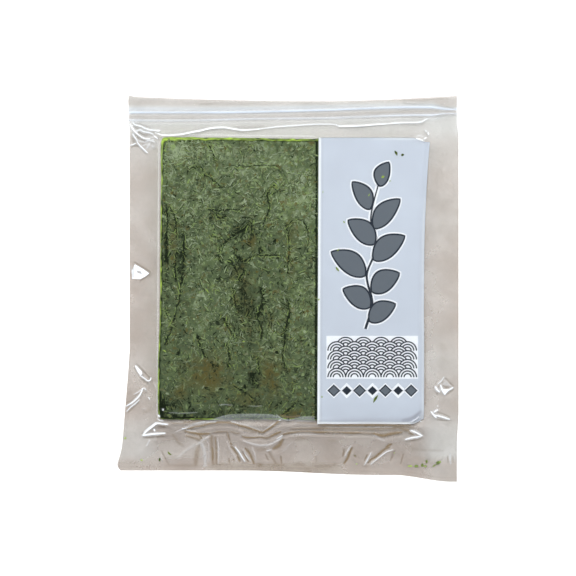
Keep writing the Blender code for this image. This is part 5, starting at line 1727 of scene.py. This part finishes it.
# Grids of the upper film, one along its foot and one above it: start, end and spacing of each of
# their stretches, fine where the film is creased.
FILM_FOOT = -91 * MM
FILM_COLUMNS = (((LEFT_X, RIGHT_X, 0.55 * MM),),
                ((LEFT_X, -92 * MM, 0.47 * MM), (-92 * MM, 100 * MM, 1.35 * MM),
                 (100 * MM, RIGHT_X, 0.5 * MM)))
FILM_ROWS = (((BOTTOM_Y, FILM_FOOT, 0.5 * MM),),
             ((FILM_FOOT, -55 * MM, 0.58 * MM), (-55 * MM, 4 * MM, 2.4 * MM), (4 * MM, 21 * MM, 0.5 * MM),
              (21 * MM, 97 * MM, 2.6 * MM), (97 * MM, TOP_LOW_Y, 0.52 * MM)))
CREASE_UP, CREASE_DOWN, SAG = 0.38 * MM, 0.36 * MM, 0.20 * MM


def make_front_film(sizes, colours):
    """The upper film: a fine grid along its foot and a graded one above, raised to the resting
    height with each crease standing up or sunk by its field."""
    parts = []
    for across, up in zip(map(graded, FILM_COLUMNS), map(graded, FILM_ROWS)):
        x, y = film_plan((across - LEFT_X) / (RIGHT_X - LEFT_X), (up - BOTTOM_Y) / (TOP_LOW_Y - BOTTOM_Y))
        body = past(rim_room(x, y), 0, 4) * past(y - zip_middle(x), -5, -2)
        light, dark = crease_fields(x, y, 1.7)
        rest = film_rest(x, y, sizes)
        sag = SAG * (layered_noise(x, y, 22 * MM, 95, 2) - 0.5) * past(rest, 4.6, -2) * past(rest, 0.4, 1.2)
        z = rest + (CREASE_UP * light ** 1.8 - CREASE_DOWN * dark + sag) * body
        z = np.maximum(z, contents_height(x, y, sizes) + 0.10 * MM)
        parts.append((np.stack([x, y, z], -1).reshape(-1, 3), grid_faces(*x.shape), film_fields(x, y, sizes)))
    points = np.concatenate([part[0] for part in parts])
    faces = np.concatenate([parts[0][1], parts[1][1] + len(parts[0][0])])
    fields = {name: np.concatenate([part[2][k].ravel() for part in parts])
              for k, name in enumerate(("tone", "veil", "glint", "fold"))}
    new_piece("front_film", points, faces, film_material("film_front", colours, FRONT_HAZE, True), "film",
              fields, replaces=("bag",))


def make_back_film(sizes, colours):
    """The lower film: a coarser grid that lies on the floor and meets the upper film at its rim. Its
    haze is thinned below the zip, painted light that lifts the shadows of the zip's bright lines,
    and it is clear where it lies on the lowest sheet."""
    x, y = film_plan(np.linspace(0, 1, 100), graded([(0.0, 0.86, 0.0085), (0.86, 1.0, 0.002)]))
    z = BACK_FILM + 0.05 * MM * (layered_noise(x, y, 14 * MM, 96) - 0.5)
    tone = 0.14 + 0.30 * past(y, 122, -14) + 0.50 * past(y, 114, -40)
    tone = tone + 0.20 * past(y, -60, -60) - 0.70 * past(y, -84, -30) * past(np.abs(x), 86, 24)
    tone = tone - 0.10 * past(x, 100, 10) - 0.22 * cool_bands(y)
    tone = tone + 0.40 * past(y, 134, 4) * (0.6 + 0.4 * past(x, 20, 60))
    tone = tone + 0.6 * past(y, -124, -8) - 0.16 * past(y, -20, -30) * past(x, 100, 8)
    tone = tone + 0.22 * (layered_noise(x * 0.3, y, 8 * MM, 97, 3) - 0.5)
    # Painted shade under the label's foot, and darker bands along the lip and the bag's foot.
    dim = 0.11 * near(y, -105.8, 4.2) * past(x, 12, 12) * past(x, 96, -16)
    dim = np.maximum(dim, 0.075 * past(y, 135.5, 3) * past(x, 80, -50))
    dim = np.maximum(dim, 0.12 * past(y, -129.0, -3) * past(x, -66, 14) * past(x, 60, -40))
    offset = zip_offset(x, y)
    tone = tone + 0.60 * near(offset, -0.2, 2.2) - 0.62 * near(offset, 5.4, 2.0)
    tone = tone - 0.16 * near(offset, -5.2, 2.0)
    clear = -0.16 * near(x, -80, 20) * past(y, -112, -6) * past(y, -130, 6)
    clear = clear - 0.07 * near(x, 106, 7) * past(y, 35, -30) * past(y, -100, 10)
    # Haze thinned under the zip's bright lines and groove: painted light in the shadows they cast.
    shadows = 0.30 * near(offset - zip_line_rise(x), 1.5, 1.0) + 0.20 * near(offset, -4.4, 1.0)
    veil = clear + 0.08 * near(offset, -7.5, 3.0) - 0.26 * near(offset, -0.7, 3.6) - shadows
    u, v = to_stack(x, y)
    pressed = past(np.abs(u) - sizes.sheet_width / 2, -1.5, -3)
    pressed = pressed * past(np.abs(v) - sizes.sheet_height / 2, -2.5, -3)
    veil = veil * (1 - pressed) - (BACK_HAZE - 0.03) * pressed
    fields = {"tone": np.clip(tone, -1, 1), "veil": veil, "glint": np.zeros(x.shape),
              "fold": dim * (1 - pressed)}
    new_piece("back_film", np.stack([x, y, z], -1).reshape(-1, 3), grid_faces(*x.shape)[:, ::-1],
              film_material("film_back", colours, BACK_HAZE, False), "film", fields)


def make_zip(colours):
    """The zip: its ribbed profile carried along its bent middle line, closed underneath."""
    across = np.linspace(0, 1, 240)
    offsets = np.linspace(-ZIP_WIDTH / 2, ZIP_WIDTH / 2, 44)
    s, offset = np.meshgrid(across, offsets, indexing="ij")
    x = LEFT_X + (RIGHT_X - LEFT_X) * s
    y = zip_middle(x) + offset * zip_pinch(x)
    x = left_edge(y) + 0.4 * MM + (right_edge(y) - left_edge(y) - 0.8 * MM) * s
    z = ZIP_FOOT + (zip_height(offset) - ZIP_FOOT) * (0.35 + 0.65 * ease(side_room(x, y) / BORDER))
    top = np.stack([x, y, z - 0.08 * MM], -1)
    bottom = np.stack([x, y, np.full(x.shape, ZIP_FOOT - 0.1 * MM)], -1)
    points, faces = slab(top, bottom)
    none = np.zeros(x.shape)
    # glint whitens the plastic all over and paints a highlight along its upper rib.
    fields = both_sides(tone=none, veil=none, glint=0.10 + 0.30 * near(offset, 3.1, 1.0), fold=none)
    new_piece("zip_profile", points, faces, film_material("zip_plastic", colours, ZIP_HAZE, False), "zip",
              fields, replaces=("zip",))


# ---------------------------------------------------------------- the stage

PIXEL = 0.745 * MM                  # one pixel of the view at the height of the stack
VIEW_PIXELS = 576
CAMERA_HEIGHT = 1.10
SENSOR = 36.0
FLOOR_HALF = 2.5
SKY_TINT = (0.97, 0.98, 1.0, 1.0)

# Lamps: name, place, the point each is aimed at, width, power, tint and whether gloss mirrors it.
LAMPS = (("key", (0.0, 0.75, 1.9), (0.0, 0.02, 0.0), 1.2, 41.0, (1.0, 0.99, 0.97), False),
         ("glint", (-1.15, 0.95, 0.62), (0.0, 0.0, 0.0), 0.45, 6.0, (1.0, 1.0, 1.0), True))


def make_floor(colours):
    """A plain pale floor."""
    floor = bpy.data.meshes.new("floor")
    corners = [(x * FLOOR_HALF, y * FLOOR_HALF, 0) for x, y in ((-1, -1), (1, -1), (1, 1), (-1, 1))]
    floor.from_pydata(corners, [], [(0, 1, 2, 3)])
    floor.materials.append(floor_material("floor_matt", colours.floor))
    floor = bpy.data.objects.new("floor", floor)
    bpy.context.scene.collection.objects.link(floor)


def make_sky():
    """A white sky that dims overhead, so the level film doesn't mirror it."""
    world = bpy.data.worlds.new("studio_sky")
    world.use_nodes = True
    nodes = Nodes(world.node_tree)
    axes = nodes.add("ShaderNodeSeparateXYZ")
    nodes.link(nodes.add("ShaderNodeTexCoord").outputs["Generated"], axes.inputs[0])
    background = world.node_tree.nodes["Background"]
    background.inputs["Color"].default_value = SKY_TINT
    nodes.link(nodes.ramp(axes.outputs["Z"], 0.62, 0.93, 1.05, 0.12), background.inputs["Strength"])
    bpy.context.scene.world = world


def make_lamps():
    """The soft overhead key, which the film doesn't mirror, and the low side light for the creases."""
    for name, place, aim, width, power, tint, mirrored in LAMPS:
        light = bpy.data.lights.new(name, "AREA")
        light.shape, light.size, light.energy, light.color = "SQUARE", width, power, tint
        lamp = bpy.data.objects.new(name, light)
        lamp.location = place
        lamp.visible_glossy = mirrored
        away = np.array(place) - np.array(aim)
        lamp.rotation_euler = (np.arctan2(np.hypot(away[0], away[1]), away[2]), 0.0,
                               np.arctan2(away[0], -away[1]))
        bpy.context.scene.collection.objects.link(lamp)


def make_camera():
    """The camera straight above the bag, with the photo's scale at the height of the upper film."""
    lens = bpy.data.cameras.new("camera")
    lens.sensor_width = SENSOR
    lens.lens = SENSOR * (CAMERA_HEIGHT - FILM_OVER_STACK) / (VIEW_PIXELS * PIXEL)
    camera = bpy.data.objects.new("camera", lens)
    camera.location = (0.0, 0.37 * MM, CAMERA_HEIGHT)
    bpy.context.scene.collection.objects.link(camera)
    bpy.context.scene.camera = camera
    bpy.context.scene.view_settings.view_transform = "Standard"


# ---------------------------------------------------------------- operators

def settings(context):
    """The scene's sizes and colours for this bag."""
    return context.scene.nori_bag_sizes, context.scene.nori_bag_colours


class NORI_OT_sheets(bpy.types.Operator):
    """Add the stack of nori sheets"""
    bl_idname = "nori_bag.sheets"
    bl_label = "Nori sheets"

    def execute(self, context):
        make_plain_sheets(*settings(context))
        make_top_sheet(*settings(context))
        return {"FINISHED"}


class NORI_OT_flakes(bpy.types.Operator):
    """Add the flakes, fibres and slits of the top sheet, and the fibres' painted shadows"""
    bl_idname = "nori_bag.flakes"
    bl_label = "Laver flakes"

    def execute(self, context):
        make_flakes(*settings(context))
        return {"FINISHED"}


class NORI_OT_label(bpy.types.Operator):
    """Add the paper label over the right part of the stack"""
    bl_idname = "nori_bag.label"
    bl_label = "Paper label"

    def execute(self, context):
        make_label(*settings(context))
        return {"FINISHED"}


class NORI_OT_print(bpy.types.Operator):
    """Add the label's printed leaves, wave scales and lozenges"""
    bl_idname = "nori_bag.print"
    bl_label = "Label print"

    def execute(self, context):
        make_print(*settings(context))
        return {"FINISHED"}


class NORI_OT_crumbs(bpy.types.Operator):
    """Add the loose crumbs of nori"""
    bl_idname = "nori_bag.crumbs"
    bl_label = "Crumbs"

    def execute(self, context):
        make_crumbs(*settings(context))
        return {"FINISHED"}


class NORI_OT_film(bpy.types.Operator):
    """Add the bag's upper and lower film"""
    bl_idname = "nori_bag.film"
    bl_label = "Clear film"

    def execute(self, context):
        make_back_film(*settings(context))
        make_front_film(*settings(context))
        return {"FINISHED"}


class NORI_OT_zip(bpy.types.Operator):
    """Add the ribbed zip"""
    bl_idname = "nori_bag.zip"
    bl_label = "Zip"

    def execute(self, context):
        make_zip(settings(context)[1])
        return {"FINISHED"}


class NORI_OT_stage(bpy.types.Operator):
    """Add the floor, the lights and the camera"""
    bl_idname = "nori_bag.stage"
    bl_label = "Stage"

    def execute(self, context):
        make_floor(settings(context)[1])
        make_sky()
        make_lamps()
        make_camera()
        return {"FINISHED"}


STEPS = (NORI_OT_sheets, NORI_OT_flakes, NORI_OT_label, NORI_OT_print, NORI_OT_crumbs, NORI_OT_zip,
         NORI_OT_film, NORI_OT_stage)


class NORI_PT_panel(bpy.types.Panel):
    """Lists the steps and the values they use"""
    bl_label = "Nori bag"
    bl_idname = "NORI_PT_panel"
    bl_space_type = "VIEW_3D"
    bl_region_type = "UI"
    bl_category = "Nori bag"

    def draw(self, context):
        for step in STEPS:
            self.layout.operator(step.bl_idname)
        for group in (context.scene.nori_bag_sizes, context.scene.nori_bag_colours):
            for name in group.__annotations__:
                self.layout.prop(group, name)


CLASSES = (NoriBagSizes, NoriBagColours, *STEPS, NORI_PT_panel)


def register():
    for each in CLASSES:
        bpy.utils.register_class(each)
    bpy.types.Scene.nori_bag_sizes = bpy.props.PointerProperty(type=NoriBagSizes)
    bpy.types.Scene.nori_bag_colours = bpy.props.PointerProperty(type=NoriBagColours)


def unregister():
    del bpy.types.Scene.nori_bag_sizes
    del bpy.types.Scene.nori_bag_colours
    for each in reversed(CLASSES):
        bpy.utils.unregister_class(each)


def main():
    register()
    for step in STEPS:
        group, name = step.bl_idname.split(".")
        getattr(getattr(bpy.ops, group), name)()


if __name__ == "__main__":
    main()
